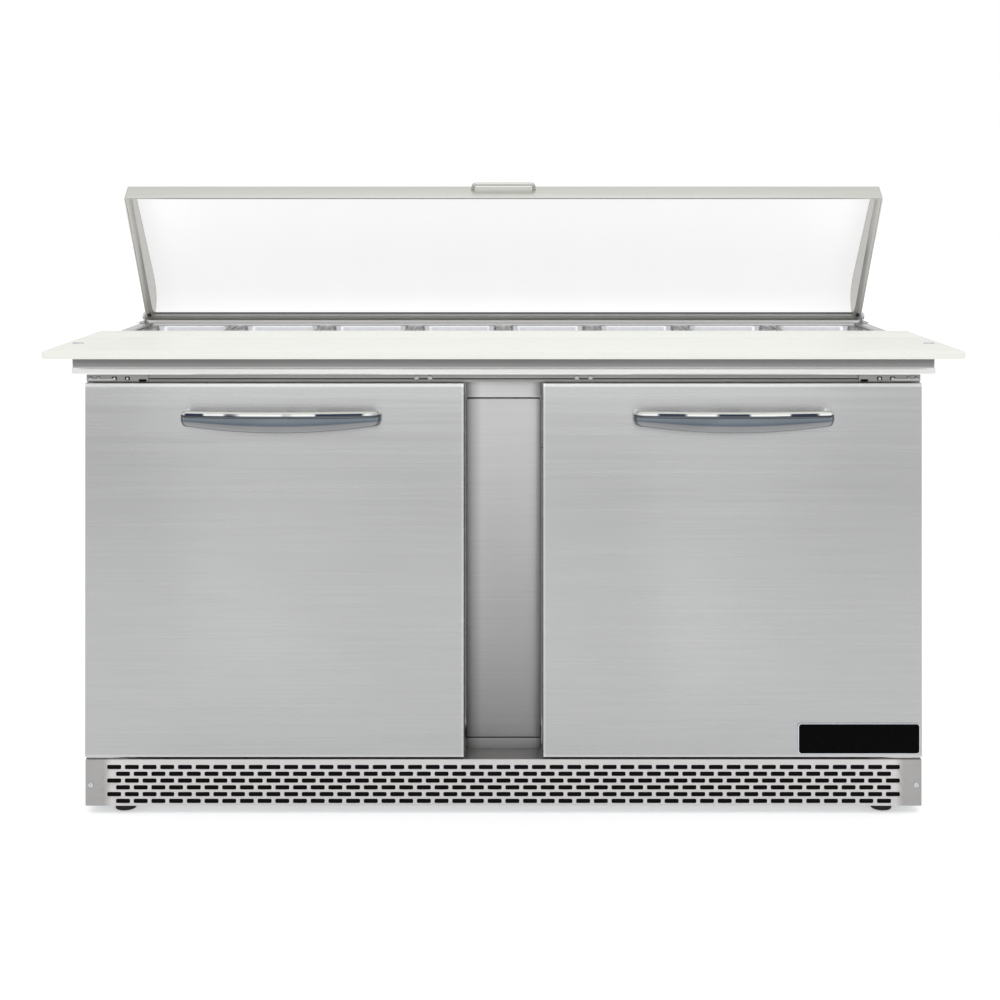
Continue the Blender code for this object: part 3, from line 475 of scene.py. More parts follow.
def dome_screw(name, centre, radius, height, finish="bolt_steel", axis="Y", direction=-1):
    """Pan-head screw on the cabinet, with a round recess."""
    profile = [(radius * 0.98, 0.0), (radius, height * 0.25)]
    for i in range(1, 6):
        turn = QUARTER * i / 6
        profile.append((radius * math.cos(turn), height * (0.25 + 0.75 * math.sin(turn))))
    profile += [(radius * 0.32, height * 0.98), (radius * 0.24, height * 0.45)]
    turned(name, [(r, direction * h) for r, h in profile], facing(centre, axis), finish)


def curved(name, lines, cyclic, **settings):
    """A curve object of straight pieces through each line's points."""
    curve = bpy.data.curves.new(name, "CURVE")
    for setting, value in settings.items():
        setattr(curve, setting, value)
    for line in lines:
        spline = curve.splines.new("POLY")
        spline.points.add(len(line) - 1)
        spline.use_cyclic_u = cyclic
        for place, point in zip(spline.points, line):
            place.co = (*point, 1.0)
    obj = bpy.data.objects.new(name, curve)
    bpy.context.scene.collection.objects.link(obj)
    return obj


def tube(name, points, radius, finish, body="cabinet", node=None, cyclic=False):
    """A rod or pipe through points."""
    obj = curved(name, [points], cyclic, dimensions="3D", bevel_depth=radius, bevel_resolution=4,
                 use_fill_caps=True)
    obj.data.materials.append(MATERIALS[finish])
    settle(obj, body, node)


def bend(points, radius, steps=5):
    """A path with its inner corners rounded."""
    points = [Vector(p) for p in points]
    path = [points[0]]
    for before, corner, after in zip(points, points[1:], points[2:]):
        start = corner + (before - corner).normalized() * radius
        end = corner + (after - corner).normalized() * radius
        for i in range(steps + 1):
            t = i / steps
            path.append(start.lerp(corner, t).lerp(corner.lerp(end, t), t))
    path.append(points[-1])
    return path


def flat_shape(name, outlines, thick, edge, finish, matrix, body="cabinet", node=None):
    """A sheet cut to outlines, the first outside and the rest holes, with fine rolled edges."""
    lines = [[(u, v, 0.0) for u, v in outline] for outline in outlines]
    maker = curved(name + "_maker", lines, True, dimensions="2D", fill_mode="BOTH", extrude=thick / 2 - edge,
                   bevel_depth=edge, bevel_resolution=1, offset=-edge)
    bpy.context.view_layer.update()
    mesh = bpy.data.meshes.new_from_object(maker.evaluated_get(bpy.context.evaluated_depsgraph_get()))
    bpy.data.objects.remove(maker)
    bm = bmesh.new()
    bm.from_mesh(mesh)
    bpy.data.meshes.remove(mesh)
    bmesh.ops.remove_doubles(bm, verts=bm.verts, dist=0.00001)
    bm.transform(matrix)
    settle(to_object(name, bm, finish, smooth=35.0), body, node)


# ---------------------------------------------------------------- worktop and board

def worktop():
    """Folded sheet with rolled edges, a hemmed skirt and a collar down into the pan well."""
    x0, x1, y0, y1, z0, z1 = box_edges("worktop")
    rack = box_edges("pan_divider_rack")
    clear = 0.001  # between the collar and the rack
    sheet = 0.0015
    fold = 0.0008  # how far the skirt stands in behind its hem
    hem = z0 + 0.0118  # upper end of the hem
    collar = 0.803  # lower end of the collar
    turned_in = sheet + 0.010  # depth of the hem's lower return
    low, high = (x0, y0), (x1, y1)
    well_low = (rack[0] - clear, rack[2] - clear)
    well_high = (rack[1] + clear, rack[3] + clear)
    outside = [(turned_in, z0 + 0.0015), (turned_in, z0), (0.003, z0), (0.0012, z0 + 0.0006),
               (0.0, z0 + 0.0025), (0.0, hem - 0.002), (fold, hem), (fold, hem + 0.001)]
    outside += roll(0.0045, z1, -1, steps=5)[::-1]
    outside = [(inset if w < hem else inset + fold, w) for inset, w in outside]
    mouth = [(-inset, w) for inset, w in roll(0.003, z1, -1, steps=4)]
    mouth += [(0.0, collar), (-sheet, collar), (-sheet, z1 - sheet)]
    inside = [(sheet + fold, z1 - sheet), (sheet + fold, hem), (sheet, z0 + 0.0015)]
    rings = rect_rings("XY", low, high, outside, 0.006)
    rings += rect_rings("XY", well_low, well_high, mouth, 0.008)
    rings += rect_rings("XY", low, high, inside, 0.006)
    skinned("worktop_sheet", rings, "top_steel", node="worktop", closed=True)


def notched_outline(x0, x1, y0, y1, notch_y):
    """Board outline with a small round-ended notch in each end."""
    depth = 0.010
    half = 0.0055
    points = corner_loop((x0, y0), (x1, y1), 0.008)
    split = 2 * (CORNER_STEPS + 1)
    right = [(x1, notch_y - half)]
    for i in range(9):
        turn = -QUARTER + math.pi * i / 8
        right.append((x1 - (depth - half + half * math.cos(turn)), notch_y + half * math.sin(turn)))
    right.append((x1, notch_y + half))
    left = [(-u, 2 * notch_y - v) for u, v in right]
    return points[:split] + left + points[split:] + right


def cutting_board():
    """Thick cream board with rolled edges, a notch and a pin head at each end."""
    x0, x1, y0, y1, z0, z1 = box_edges("cutting_board")
    notch_y = y0 + 0.667 * (y1 - y0)
    pin_y = y0 + 0.356 * (y1 - y0)
    pin_inset = 0.026
    half_pin = (0.0095, 0.0055)
    flat_shape("board_slab", [notched_outline(x0, x1, y0, y1, notch_y)], z1 - z0, 0.0016, "board",
               Matrix.Translation((0, 0, (z0 + z1) / 2)), "cutting_board", "cutting_board")
    for name, side in SIDES.items():
        pin_x = side * (x1 - pin_inset)
        block(f"board_pin_{name}", (pin_x - half_pin[0], pin_y - half_pin[1], z1 - 0.001),
              (pin_x + half_pin[0], pin_y + half_pin[1], z1 + 0.0016), 0.0010, "bolt_steel",
              corner=0.0045, body="cutting_board")


# ---------------------------------------------------------------- pans

def pan_mesh(node):
    """Deep-drawn pan as one mesh about the middle of its rim's top."""
    x0, x1, y0, y1, z0, z1 = box_edges(node)
    half_x, half_y = (x1 - x0) / 2, (y1 - y0) / 2
    deep = z0 - z1
    rim = 0.0115
    sheet = 0.0008
    lean = 0.007  # how far the walls slope in down to the foot's curve
    foot = 0.014  # radius of the curve from wall to floor
    rim_corner, wall_corner = 0.011, 0.020
    wall = rim + sheet + lean
    under = -sheet - 0.0002
    outer = [(wall + foot, deep), (wall + foot * 0.4, deep + foot * 0.12), (wall, deep + foot * 0.8),
             (rim + sheet, -0.004), (rim - 0.001, under), (0.0010, under)]
    lip = [(0.0002, -0.0009), (0.0, -0.0006), (0.0004, -0.0001), (0.0012, 0.0)]
    mouth = [(rim - 0.0025, -0.0001), (rim - 0.0012, -0.0005), (rim - 0.0003, -0.0016), (rim, -0.004)]
    floor = [(rim + lean + foot * inset, deep + sheet + foot * up)
             for inset, up in ((0.0, 0.8), (0.15, 0.4), (0.5, 0.12), (1.0, 0.0))]
    rings = []
    for inset, w in outer + lip + mouth + floor:
        u, v = half_x - inset, half_y - inset
        loop = corner_loop((-u, -v), (u, v), rim_corner if inset < rim * 0.6 else wall_corner)
        rings.append([lay("XY", *point, w) for point in loop])
    pattern = to_object("pan_pattern", skin(rings), "pan_steel", smooth=50.0)
    mesh = pattern.data
    bpy.data.objects.remove(pattern)
    return mesh


def pans():
    """Sixteen pans that share one mesh."""
    names = sorted(node for node in frame["nodes"] if node.startswith("pan_") and node[-1].isdigit())
    mesh = pan_mesh(names[0])
    for node in names:
        x0, x1, y0, y1, _, z1 = box_edges(node)
        pan = bpy.data.objects.new(f"{node}_drawn", mesh)
        pan.location = ((x0 + x1) / 2, (y0 + y1) / 2, z1)
        bpy.context.scene.collection.objects.link(pan)
        settle(pan, node, node)


# ---------------------------------------------------------------- lid

def lid_frame():
    """Matrix from the closed lid's own space, about its hinge axis, to its place at rest."""
    joint = JOINTS["lid_swing"]
    closed = math.radians(joint["range_deg"][0])
    return Matrix.Translation(joint["pos_m"]) @ Matrix.Rotation(-closed, 4, Vector(joint["axis"]))


def lid_box(node):
    """Lowest and highest corner of a lid node in the closed lid's space."""
    back = LID_PLACE.inverted()
    points = [back @ vert.co for vert in frame["nodes"][node].data.vertices]
    return [min(p[i] for p in points) for i in range(3)], [max(p[i] for p in points) for i in range(3)]


LID_PLACE = lid_frame()
LID_LOW, LID_HIGH = lid_box("lid_shell")
LID_LIP = 0.038  # height of the hood's front
LID_CORNER = 0.004
LID_RIM = (0.016, 0.003, 0.0173)  # width of the turned-in rim at the sides, front and back
LID_KNEE = -0.030  # the rim's inner edge slants up from here to the back
LID_HEEL = (0.0105, 0.0085)  # how far the rim's outer and inner edge rise at the back
LID_DEEP = 0.0115  # from the hood's top down to the inner panel


def lid_top(v):
    """Height of the hood's sloping top at a depth."""
    slope = (LID_HIGH[2] - LID_LOW[2] - LID_LIP) / (LID_HIGH[1] - LID_LOW[1])
    return LID_LOW[2] + LID_LIP + slope * (v - LID_LOW[1])


def lid_ring(inward, pull, share, drop):
    """One outline of the lid, with its sides pulled in and the whole dropped.

    Inward 0 is the rim's outer edge and 1 its inner edge; share 0 is the rim and 1 the hood's top."""
    side, front, rear = (width * inward + pull for width in LID_RIM)
    a = (LID_LOW[0] + side, LID_LOW[1] + front)
    b = (LID_HIGH[0] - side, LID_HIGH[1] - rear)
    knee = LID_KNEE * max(inward, 0.0) - 0.004
    rise = LID_HEEL[0] + (LID_HEEL[1] - LID_HEEL[0]) * inward
    split = 2 * (CORNER_STEPS + 1)
    loop = corner_loop(a, b, LID_CORNER)
    loop = loop[:split] + [(a[0], knee)] + loop[split:] + [(b[0], knee)]
    ring = []
    for u, v in loop:
        bottom = LID_LOW[2] + rise * max(0.0, (v - knee) / (b[1] - knee))
        ring.append(LID_PLACE @ Vector((u, v, bottom + (lid_top(v) - bottom) * share - drop)))
    return ring


def lid():
    """Steel hood, its turned-in rim and inner walls, a white inner panel, a pull and two stops."""
    outer = [(0.06, 0.0, 0.0, 0.0), (0.0, 0.0, 0.0, -0.0010)]
    outer += [(0.0, pull, 1.0, drop) for pull, drop in roll(0.0025, 0.0, 1, steps=4)[::-1]]
    skinned("lid_hood", [lid_ring(*step) for step in outer], "lid_steel", "lid", "lid_shell", 35.0,
            cap_first=False)
    rim = [(0.06, 0.0, 0.0, 0.0), (0.16, 0.0, 0.0, 0.0), (0.18, 0.0, 0.0, -0.0010), (0.28, 0.0, 0.0, -0.0010),
           (0.30, 0.0, 0.0, 0.0), (0.92, 0.0, 0.0, 0.0), (0.98, 0.0, 0.0, -0.0005), (1.0, 0.0, 0.0, -0.0014),
           (1.0, 0.0, 1.0, LID_DEEP - 0.002)]
    skinned("lid_rim", [lid_ring(*step) for step in rim], "cheek_steel", "lid", smooth=35.0,
            cap_first=False, cap_last=False)
    lid_panel()
    lid_pull()
    stop = [(0.0046, -0.001), (0.0046, 0.0004), (0.0038, 0.0007), (0.0015, 0.0008)]
    downward = LID_PLACE.to_quaternion().to_matrix().to_4x4() @ Matrix.Rotation(math.pi, 4, "X")
    for name, side in SIDES.items():
        spot = LID_PLACE @ Vector((side * (LID_HIGH[0] - 0.5 * LID_RIM[0]), -0.014, LID_LOW[2] - 0.0001))
        turned(f"lid_stop_{name}", stop, Matrix.Translation(spot) @ downward, "black_plastic", "lid")


def lid_panel():
    """White sheet under the hood's top that curves down to the rim at the back, with its edge strips."""
    sheet = 0.002
    gap = 0.0004
    half = LID_HIGH[0] - LID_RIM[0] - gap
    front = LID_LOW[1] + LID_RIM[1] + gap
    back = LID_HIGH[1] - LID_RIM[2]
    bend_from = -0.090
    flat_steps, bend_steps = 6, 14
    line = []
    for i in range(flat_steps + 1):
        y = front + (bend_from - front) * i / flat_steps
        line.append(Vector((y, lid_top(y) - LID_DEEP)))
    start = line[-1]
    turn = Vector((back - 0.002, lid_top(back) - LID_DEEP))
    end = Vector((back, LID_LOW[2] + LID_HEEL[1] + 0.0006))
    for i in range(1, bend_steps + 1):
        t = i / bend_steps
        line.append(start * (1 - t) ** 2 + turn * 2 * t * (1 - t) + end * t * t)
    normals = []
    for i in range(len(line)):
        along = line[min(i + 1, len(line) - 1)] - line[max(i - 1, 0)]
        normals.append(Vector((-along.y, along.x)).normalized())
    pairs = list(zip(line, normals))
    rings = []
    for x, share in ((-half, 0.55), (-half + 0.0003, 0.2), (-half + 0.0012, 0.0)):
        path = [p + n * sheet * share for p, n in pairs] + [p + n * sheet for p, n in pairs[::-1]]
        rings.append([LID_PLACE @ Vector((x, *p)) for p in path])
    mirror = LID_PLACE @ Matrix.Scale(-1, 4, (1, 0, 0)) @ LID_PLACE.inverted()
    rings += [[mirror @ point for point in ring] for ring in rings[::-1]]
    skinned("lid_inner_panel", rings, "lid_liner", "lid", "lid_liner", 50.0)
    foot = LID_PLACE @ Vector((0.0, *line[-1]))
    up = (LID_PLACE @ Vector((0.0, *line[-3])) - foot).normalized()
    out = Vector((0.0, -up.z, up.y))
    # A grey trim and a dark strip run along the panel's lower edge.
    for name, start, stop, thick, finish in (("lid_panel_trim", 0.0002, 0.0024, 0.0012, "header_steel"),
                                             ("lid_panel_dark_strip", 0.0024, 0.0066, 0.0016, "gasket")):
        soft = thick * 0.3
        section = [(start, 0.0), (start, thick * 0.7), (start + soft, thick), (stop - soft, thick),
                   (stop, thick * 0.7), (stop, 0.0)]
        rings = [[foot + up * a + out * b + Vector((x, 0.0, 0.0)) for a, b in section]
                 for x in (-half + 0.001, half - 0.001)]
        skinned(name, rings, finish, "lid")


def lid_pull():
    """Low bow pull on the lip."""
    a, b = lid_box("lid_handle")
    radius = 0.0034
    lean = 0.002  # how far in the bow's front corners are
    z = (a[2] + b[2]) / 2
    front = a[1] + radius
    half = b[0] - radius
    path = bend([(-half, b[1], z), (-half + lean, front, z), (half - lean, front, z), (half, b[1], z)], 0.005)
    tube("lid_pull", [LID_PLACE @ p for p in path], radius, "lid_steel", "lid", "lid_handle")


def lid_hinges():
    """Bracket, pin and screws at each end of the lid."""
    pivot = Vector(JOINTS["lid_swing"]["pos_m"])
    inner_face = 0.7465
    base, ear = 0.0022, 0.003  # thicknesses
    half_ear = 0.011
    profile = [(0.0038, -0.014), (0.0038, 0.0035), (0.0070, 0.0036), (0.0074, 0.0045), (0.0068, 0.0075),
               (0.0030, 0.0085)]
    for name, side in SIDES.items():
        node = f"lid_hinge_{name}"
        x0, x1, y0, y1, z0, z1 = box_edges(node)
        inner = side * inner_face
        xs = sorted((inner, x1 if side > 0 else x0))
        block(f"{node}_base", (xs[0], y0, z0), (xs[1], y1, z0 + base), 0.0006, "hinge_steel", corner=0.003,
              node=node)
        xs = sorted((inner, inner + side * ear))
        block(f"{node}_ear", (xs[0], pivot.y - half_ear, z0 + 0.0005), (xs[1], pivot.y + half_ear, z1),
              0.0006, "hinge_steel", plane="YZ", corner=0.009)
        turned(f"{node}_pin", [(r, side * h) for r, h in profile],
               facing((inner, pivot.y, pivot.z), "X"), "bolt_steel")
        for i, offset in enumerate((-0.0125, 0.0165)):
            spot = (inner + side * 0.009, pivot.y + offset, z0 + base)
            dome_screw(f"{node}_screw_{i + 1}", spot, 0.0032, 0.0018, axis="Z", direction=1)


# ---------------------------------------------------------------- doors

def door(name):
    """Skin, liner, gasket and pull of one door."""
    body = f"{name}_door"
    for piece, part, finish, make_profile, corner, smooth, ends in DOOR_SHELLS:
        node = f"{name}_door_{part}"
        x0, x1, y0, y1, z0, z1 = box_edges(node)
        rings = rect_rings("XZ", (x0, z0), (x1, z1), make_profile(y0, y1), corner)
        skinned(f"{name}_door_{piece}", rings, finish, body, node, smooth, **ends)
    door_pull(name, body)


def skin_profile(y0, y1):
    """Thin sheet folded back on all four sides."""
    sheet = 0.001
    return [(sheet, y0 + 0.030), (sheet, y1 - 0.0006), (sheet * 0.5, y1), (0.0, y1 - 0.0004),
            *roll(0.0018, y0, 1, steps=4)[::-1]]


def liner_profile(y0, y1):
    """Vacuum-formed inner panel with a raised border."""
    border = 0.040
    dish = ((0.0, 0.0), (0.003, 0.0010), (0.006, 0.0045), (0.010, 0.0060), (0.060, 0.0060), (0.064, 0.0050),
            (0.068, 0.0030), (0.074, 0.0022))
    return [(0.0, y0 + 0.002), (0.0, y1 - 0.0020), (0.0006, y1 - 0.0006), (0.0020, y1),
            *((border + inset, y1 - deep) for inset, deep in dish)]


def gasket_profile(y0, y1):
    """Bellows gasket with its magnet strip."""
    wide = 0.020
    half = [(0.0020, y0), (0.0005, y0 + 0.0020), (0.0030, y0 + 0.0042), (0.0004, y0 + 0.0068),
            (0.0002, y1 - 0.0020), (0.0016, y1 - 0.0004), (0.0045, y1)]
    return half + [(wide - inset, w) for inset, w in half[::-1]]


# Shells of a door: piece, CAD part, finish, profile, corner radius, smoothing angle and ends.
DOOR_SHELLS = (("panel", "skin", "door_steel", skin_profile, 0.0014, 40.0, {"cap_first": False}),
               ("inner", "liner", "white_liner", liner_profile, 0.012, 50.0, {"cap_first": False}),
               ("seal", "gasket", "gasket", gasket_profile, 0.010, 50.0, {"closed": True}))


def oval(half_across, half_up):
    """Section of a soft-cornered bar."""
    power, count = 2 / 2.1, 40
    points = []
    for i in range(count):
        turn = math.tau * i / count
        c, s = math.cos(turn), math.sin(turn)
        points.append((half_across * math.copysign(abs(c) ** power, c),
                       half_up * math.copysign(abs(s) ** power, s)))
    return points


def door_pull(name, body):
    """Cast crescent pull: a bar with rounded ends, bowed out and drawn down in its middle."""
    node = f"{name}_door_handle"
    x0, x1, y0, y1, z0, z1 = box_edges(node)
    middle, z = (x0 + x1) / 2, (z0 + z1) / 2
    half_across, half_up = 0.0068, (z1 - z0) / 2
    bow = 0.0105  # how far the middle stands out past the ends
    droop = 0.0095  # how far the middle hangs below the ends
    end_radius = 0.014
    end_steps, bow_steps = 8, 32
    end_x = (x1 - x0) / 2 - half_across
    line_y = y0 + half_across + bow
    span = end_x - end_radius
    corner = middle + end_x - end_radius
    right = [Vector((middle + end_x, y1, z)), Vector((middle + end_x, line_y + end_radius, z))]
    for i in range(1, end_steps + 1):
        angle = QUARTER * i / end_steps
        right.append(Vector((corner + end_radius * math.cos(angle),
                             line_y + end_radius * (1 - math.sin(angle)), z)))
    bowed = []
    for i in range(1, bow_steps):
        t = 1 - 2 * i / bow_steps
        bowed.append(Vector((middle + span * t, line_y - bow * (1 - t * t), z)))
    left = [Vector((2 * middle - p.x, p.y, p.z)) for p in right[::-1]]
    path = right + bowed + left
    rings = []
    for i, point in enumerate(path):
        forward = (path[min(i + 1, len(path) - 1)] - path[max(i - 1, 0)]).normalized()
        side = Vector((forward.y, -forward.x, 0.0))
        t = min(1.0, abs(point.x - middle) / span)
        stretch = 1 + droop / half_up * (1 - t * t)
        rings.append([point + side * a + Vector((0, 0, b * (stretch if b < 0 else 1.0)))
                      for a, b in oval(half_across, half_up)])
    skinned(f"{name}_door_pull", rings, "chrome", body, node, 60.0)


def nameplate():
    """Blank black plate in a thin bright frame."""
    x0, x1, y0, y1, z0, z1 = box_edges("nameplate")
    z0 -= 0.0034  # the real plate is a little taller than its CAD node
    z1 += 0.0029
    rim = 0.0014
    block("nameplate_rim", (x0 - 0.001, y0 + 0.0003, z0), (x1, y1, z1), 0.0007, "bolt_steel", "XZ", 0.005,
          "right_door", "nameplate")
    block("nameplate_face", (x0 + rim, y0, z0 + rim), (x1 - rim, y0 + 0.0012, z1 - rim), 0.0004,
          "plate_black", "XZ", 0.0045, "right_door")


# ---------------------------------------------------------------- hinges and rail over the doors

RAIL_FRONT = -0.2190
TOP_LEAF_Z = 0.7635  # underside of the upper hinges' leaves
# Slots in the upper hinges' flanges, drawn as black patches of painted shade: distance from the inner end,
# width, lower and upper end.
HINGE_SLOTS = ((0.010, 0.014, 0.7618, 0.7660), (0.037, 0.009, 0.7640, 0.7705), (0.060, 0.009, 0.7640, 0.7705),
               (0.088, 0.006, 0.7640, 0.7705), (0.102, 0.006, 0.7640, 0.7705))
# Parts of the rail: name, distance behind its front, lower and upper end, finish.
RAIL_PARTS = (("header_rail_low", 0.0, 0.7608, 0.7656, "header_steel"),
              ("header_rail", 0.0, 0.7673, 0.7800, "header_steel"),
              # painted shade: the black back shows through the gap between the two strips as the groove's
              # shade
              ("header_rail_back", 0.0030, 0.7610, 0.7790, "black_paint"))
FLANGE_Z = (0.7614, 0.7745)
BOLT_Z = 0.7670
PLUG_Z = 0.7680
PLUG_X = (0.130, 0.154)  # distance of the plugs in the rail from the middle


def hinge_leaf_outline(inner, outer, front, back):
    """Leaf that is deep at the pivot and sweeps back to the cabinet, as (x, y) for the right side."""
    radius = 0.006
    end = 0.004  # how wide the leaf stays at its inner end
    corner_steps, sweep_steps = 4, 12
    points = [(inner, back), (outer, back), (outer, front + radius)]
    for i in range(corner_steps + 1):
        angle = QUARTER * i / corner_steps
        points.append((outer - radius + radius * math.cos(angle), front + radius - radius * math.sin(angle)))
    bend_x = outer - 0.040
    for i in range(sweep_steps + 1):
        t = i / sweep_steps
        points.append((bend_x + (inner - bend_x) * t, front + (back - end - front) * t * t))
    return points


def door_hinges():
    """Upper and lower pivot leaves with their pins, and the upper leaves' flanges."""
    thick = 0.0038
    knuckle = ((0.0038, 0.018), (0.0038, 0.0022), (0.0085, 0.0021), (0.0085, -0.0024), (0.0060, -0.0052),
               (0.0025, -0.0056))
    for name, side in SIDES.items():
        pivot = JOINTS[f"door_{name}_swing"]["pos_m"]
        for level, up in (("top", -1), ("bottom", 1)):
            node = f"hinge_{level}_{name}"
            x0, x1, y0, y1, z0, _ = box_edges(node)
            z_mid = (TOP_LEAF_Z if level == "top" else z0) + thick / 2
            ends = sorted((abs(x0), abs(x1)))
            outline = hinge_leaf_outline(*ends, y0 + 0.0005, y1)
            if side < 0:
                outline = [(-x, y) for x, y in outline[::-1]]
            flat_shape(f"{node}_leaf", [outline], thick, 0.0006, "hinge_steel",
                       Matrix.Translation((0, 0, z_mid)), node=node)
            turned(f"{node}_pivot_pin", [(r, up * h) for r, h in knuckle],
                   facing((*pivot[:2], z_mid), "Z"), "bolt_steel")
            if level == "top":
                hinge_flange(node, side, ends)


def hinge_flange(node, side, ends):
    """Upright flange of an upper hinge on the rail, with bolts in its adjusting slots."""
    xs = sorted((side * ends[0], side * ends[1]))
    face = RAIL_FRONT - 0.0022
    block(f"{node}_flange", (xs[0], face, FLANGE_Z[0]), (xs[1], RAIL_FRONT, FLANGE_Z[1]), 0.0006,
          "header_steel", "XZ", 0.002)
    for i, (offset, wide, low, high) in enumerate(HINGE_SLOTS):
        x = side * (ends[0] + offset)
        # painted shade: each slot is a black patch on the flange standing in for the shade in the hole
        block(f"{node}_slot_{i + 1}", (x - wide / 2, face - 0.0004, low), (x + wide / 2, face + 0.0001, high),
              0.0002, "filter", "XZ", 0.0018)
        if i:
            dome_screw(f"{node}_bolt_{i}", (x, face - 0.0004, BOLT_Z), 0.0028, 0.0018)


def header_rail():
    """Folded rail behind the skirt that carries the upper hinges, with pairs of small plugs."""
    half = box_edges("front_frame")[1]
    for name, back, low, high, finish in RAIL_PARTS:
        block(name, (-half, RAIL_FRONT + back, low), (half, RAIL_FRONT + back + 0.0015, high), 0.0004,
              finish, "XZ", 0.001)
    for name, side in SIDES.items():
        for i, x in enumerate(PLUG_X):
            dome_screw(f"rail_plug_{name}_{i + 1}", (side * x, RAIL_FRONT, PLUG_Z), 0.0045, 0.0018,
                       "hinge_steel")


# ---------------------------------------------------------------- cabinet front

def mullion():
    """Channel cover between the doors, and the strips above and below it."""
    x0, x1, y0, y1, z0, z1 = box_edges("mullion_cover")
    block("mullion_channel", (x0, y0, z0), (x1, y1, z1), 0.0020, "post_steel", "XZ", 0.0015,
          node="mullion_cover")
    gap = 0.0012
    door_top = box_edges("left_door_skin")[5]
    frame_foot = box_edges("front_frame")[4]
    for name, low, high in (("mullion_head", z1 + gap, door_top + 0.045),
                            ("mullion_foot", frame_foot, z0 - gap)):
        block(name, (x0, y0 + 0.0006, low), (x1, y1, high), 0.0012, "post_steel", "XZ", 0.0012)


def grille():
    """Pressed front sheet with six staggered rows of slots, its returns, a filter and two screws."""
    x0, x1, y0, y1, z0, z1 = box_edges("front_grille")
    z0 -= 0.0035  # the pressed sheet reaches a little lower than its CAD node
    sheet = 0.0012
    rows, longest_row = 6, 45
    pitch_x, pitch_z = 0.03124, 0.01196
    half_long, half_tall = 0.0246 / 2, 0.0074 / 2
    slot_corner = half_tall * 2 * 0.30
    outlines = [corner_loop((x0, z0), (x1, z1), 0.0015, 2)]
    for row in range(rows):
        count = longest_row - row % 2
        z = z1 - 0.0136 - row * pitch_z
        for column in range(count):
            x = (column - (count - 1) / 2) * pitch_x
            outlines.append(corner_loop((x - half_long, z - half_tall), (x + half_long, z + half_tall),
                                        slot_corner, 3))
    upright = Matrix.Translation((0, y0 + sheet / 2, 0)) @ Matrix.Rotation(QUARTER, 4, "X")
    flat_shape("grille_panel", outlines, sheet, 0.0005, "grille_steel", upright, node="front_grille")
    back = y0 + sheet
    for name, plane, low, high in (("left", "YZ", (x0, back, z0), (x0 + sheet, y1, z1)),
                                   ("right", "YZ", (x1 - sheet, back, z0), (x1, y1, z1)),
                                   ("top", "XY", (x0 + sheet, back, z1 - sheet), (x1 - sheet, y1, z1))):
        block(f"grille_return_{name}", low, high, 0.0004, "grille_steel", plane, 0.001)
    block("grille_filter", (x0 + 0.006, back + 0.0003, z0 + 0.001), (x1 - 0.006, back + 0.0033, z1 - 0.004),
          0.0008, "filter", "XZ", 0.004)
    for name, side in SIDES.items():
        dome_screw(f"grille_screw_{name}", (side * (x1 - 0.0095), y0 + 0.0002, (z0 + z1) / 2 - 0.004),
                   0.0046, 0.0024)


def feet():
    """Ribbed levelling feet on threaded studs."""
    pitch = 0.00125
    groove, thread = 0.0041, 0.0048
    # Radius and height of each point of the pad; a radius of 0 or less is counted from its outside.
    pad = ((-0.0020, 0.0), (-0.0004, 0.0006), (0.0, 0.0020), (0.0, 0.0040), (-0.0008, 0.0046),
           (-0.0008, 0.0080), (0.0, 0.0086), (0.0, 0.0125), (-0.0012, 0.0145), (0.0105, 0.0155),
           (0.0100, 0.0180), (thread, 0.0185))
    for node in sorted(n for n in frame["nodes"] if n.startswith("foot_")):
        x0, x1, y0, y1, z0, z1 = box_edges(node)
        outside = (x1 - x0) / 2
        profile = [(r if r > 0 else outside + r, z0 + h) for r, h in pad]
        height = profile[-1][1]
        while height + pitch < z1:
            profile += [(groove, height + pitch * 0.5), (thread, height + pitch)]
            height += pitch
        place = Matrix.Translation(((x0 + x1) / 2, (y0 + y1) / 2, 0.0))
        turned(f"{node}_pad", profile, place, "black_rubber", node, node, steps=40)


# ---------------------------------------------------------------- inside and back

# CAD nodes that stay as they are: finish, width of their softened edges, and nodes.
KEPT_NODES = (
    ("side_steel", 0.0003, ("left_side_panel", "right_side_panel")),
    ("galvanised", 0.0003, ("rear_panel",)), ("galvanised", 0.0, ("base_pan",)),
    ("frame_steel", 0.0005, ("front_frame",)), ("foam", 0.0, ("foam_insulation",)),
    ("white_liner", 0.0, ("interior_liner",)), ("rack_steel", 0.0008, ("pan_divider_rack",)),
    ("black_paint", 0.0, ("compressor",)), ("fins", 0.0, ("condenser_coil", "evaporator_coil")),
    ("black_paint", 0.0005, ("condenser_fan_motor", "evaporator_fan_motor")),
    ("black_plastic", 0.0003, ("condenser_fan_blade", "evaporator_fan_blade")),
    ("coated_wire", 0.0018, ("shelf_left", "shelf_right")), ("black_plastic", 0.0008, ("thermostat_knob",)),
)


def kept_nodes():
    """Gives the kept CAD nodes their materials and softened edges."""
    for finish, edge, nodes in KEPT_NODES:
        for node in nodes:
            obj = frame["nodes"][node]
            obj.data.materials.clear()
            obj.data.materials.append(MATERIALS[finish])
            weld = obj.modifiers.new("weld", "WELD")
            weld.merge_threshold = 0.00001
            if edge:
                bevel = obj.modifiers.new("edges", "BEVEL")
                bevel.width = edge
                bevel.segments = 2
                bevel.limit_method = "ANGLE"
                bevel.angle_limit = math.radians(40)
                bevel.harden_normals = False
            obj.data.shade_smooth()
            smoother = obj.modifiers.new("shade", "EDGE_SPLIT")
            smoother.split_angle = math.radians(30.0)


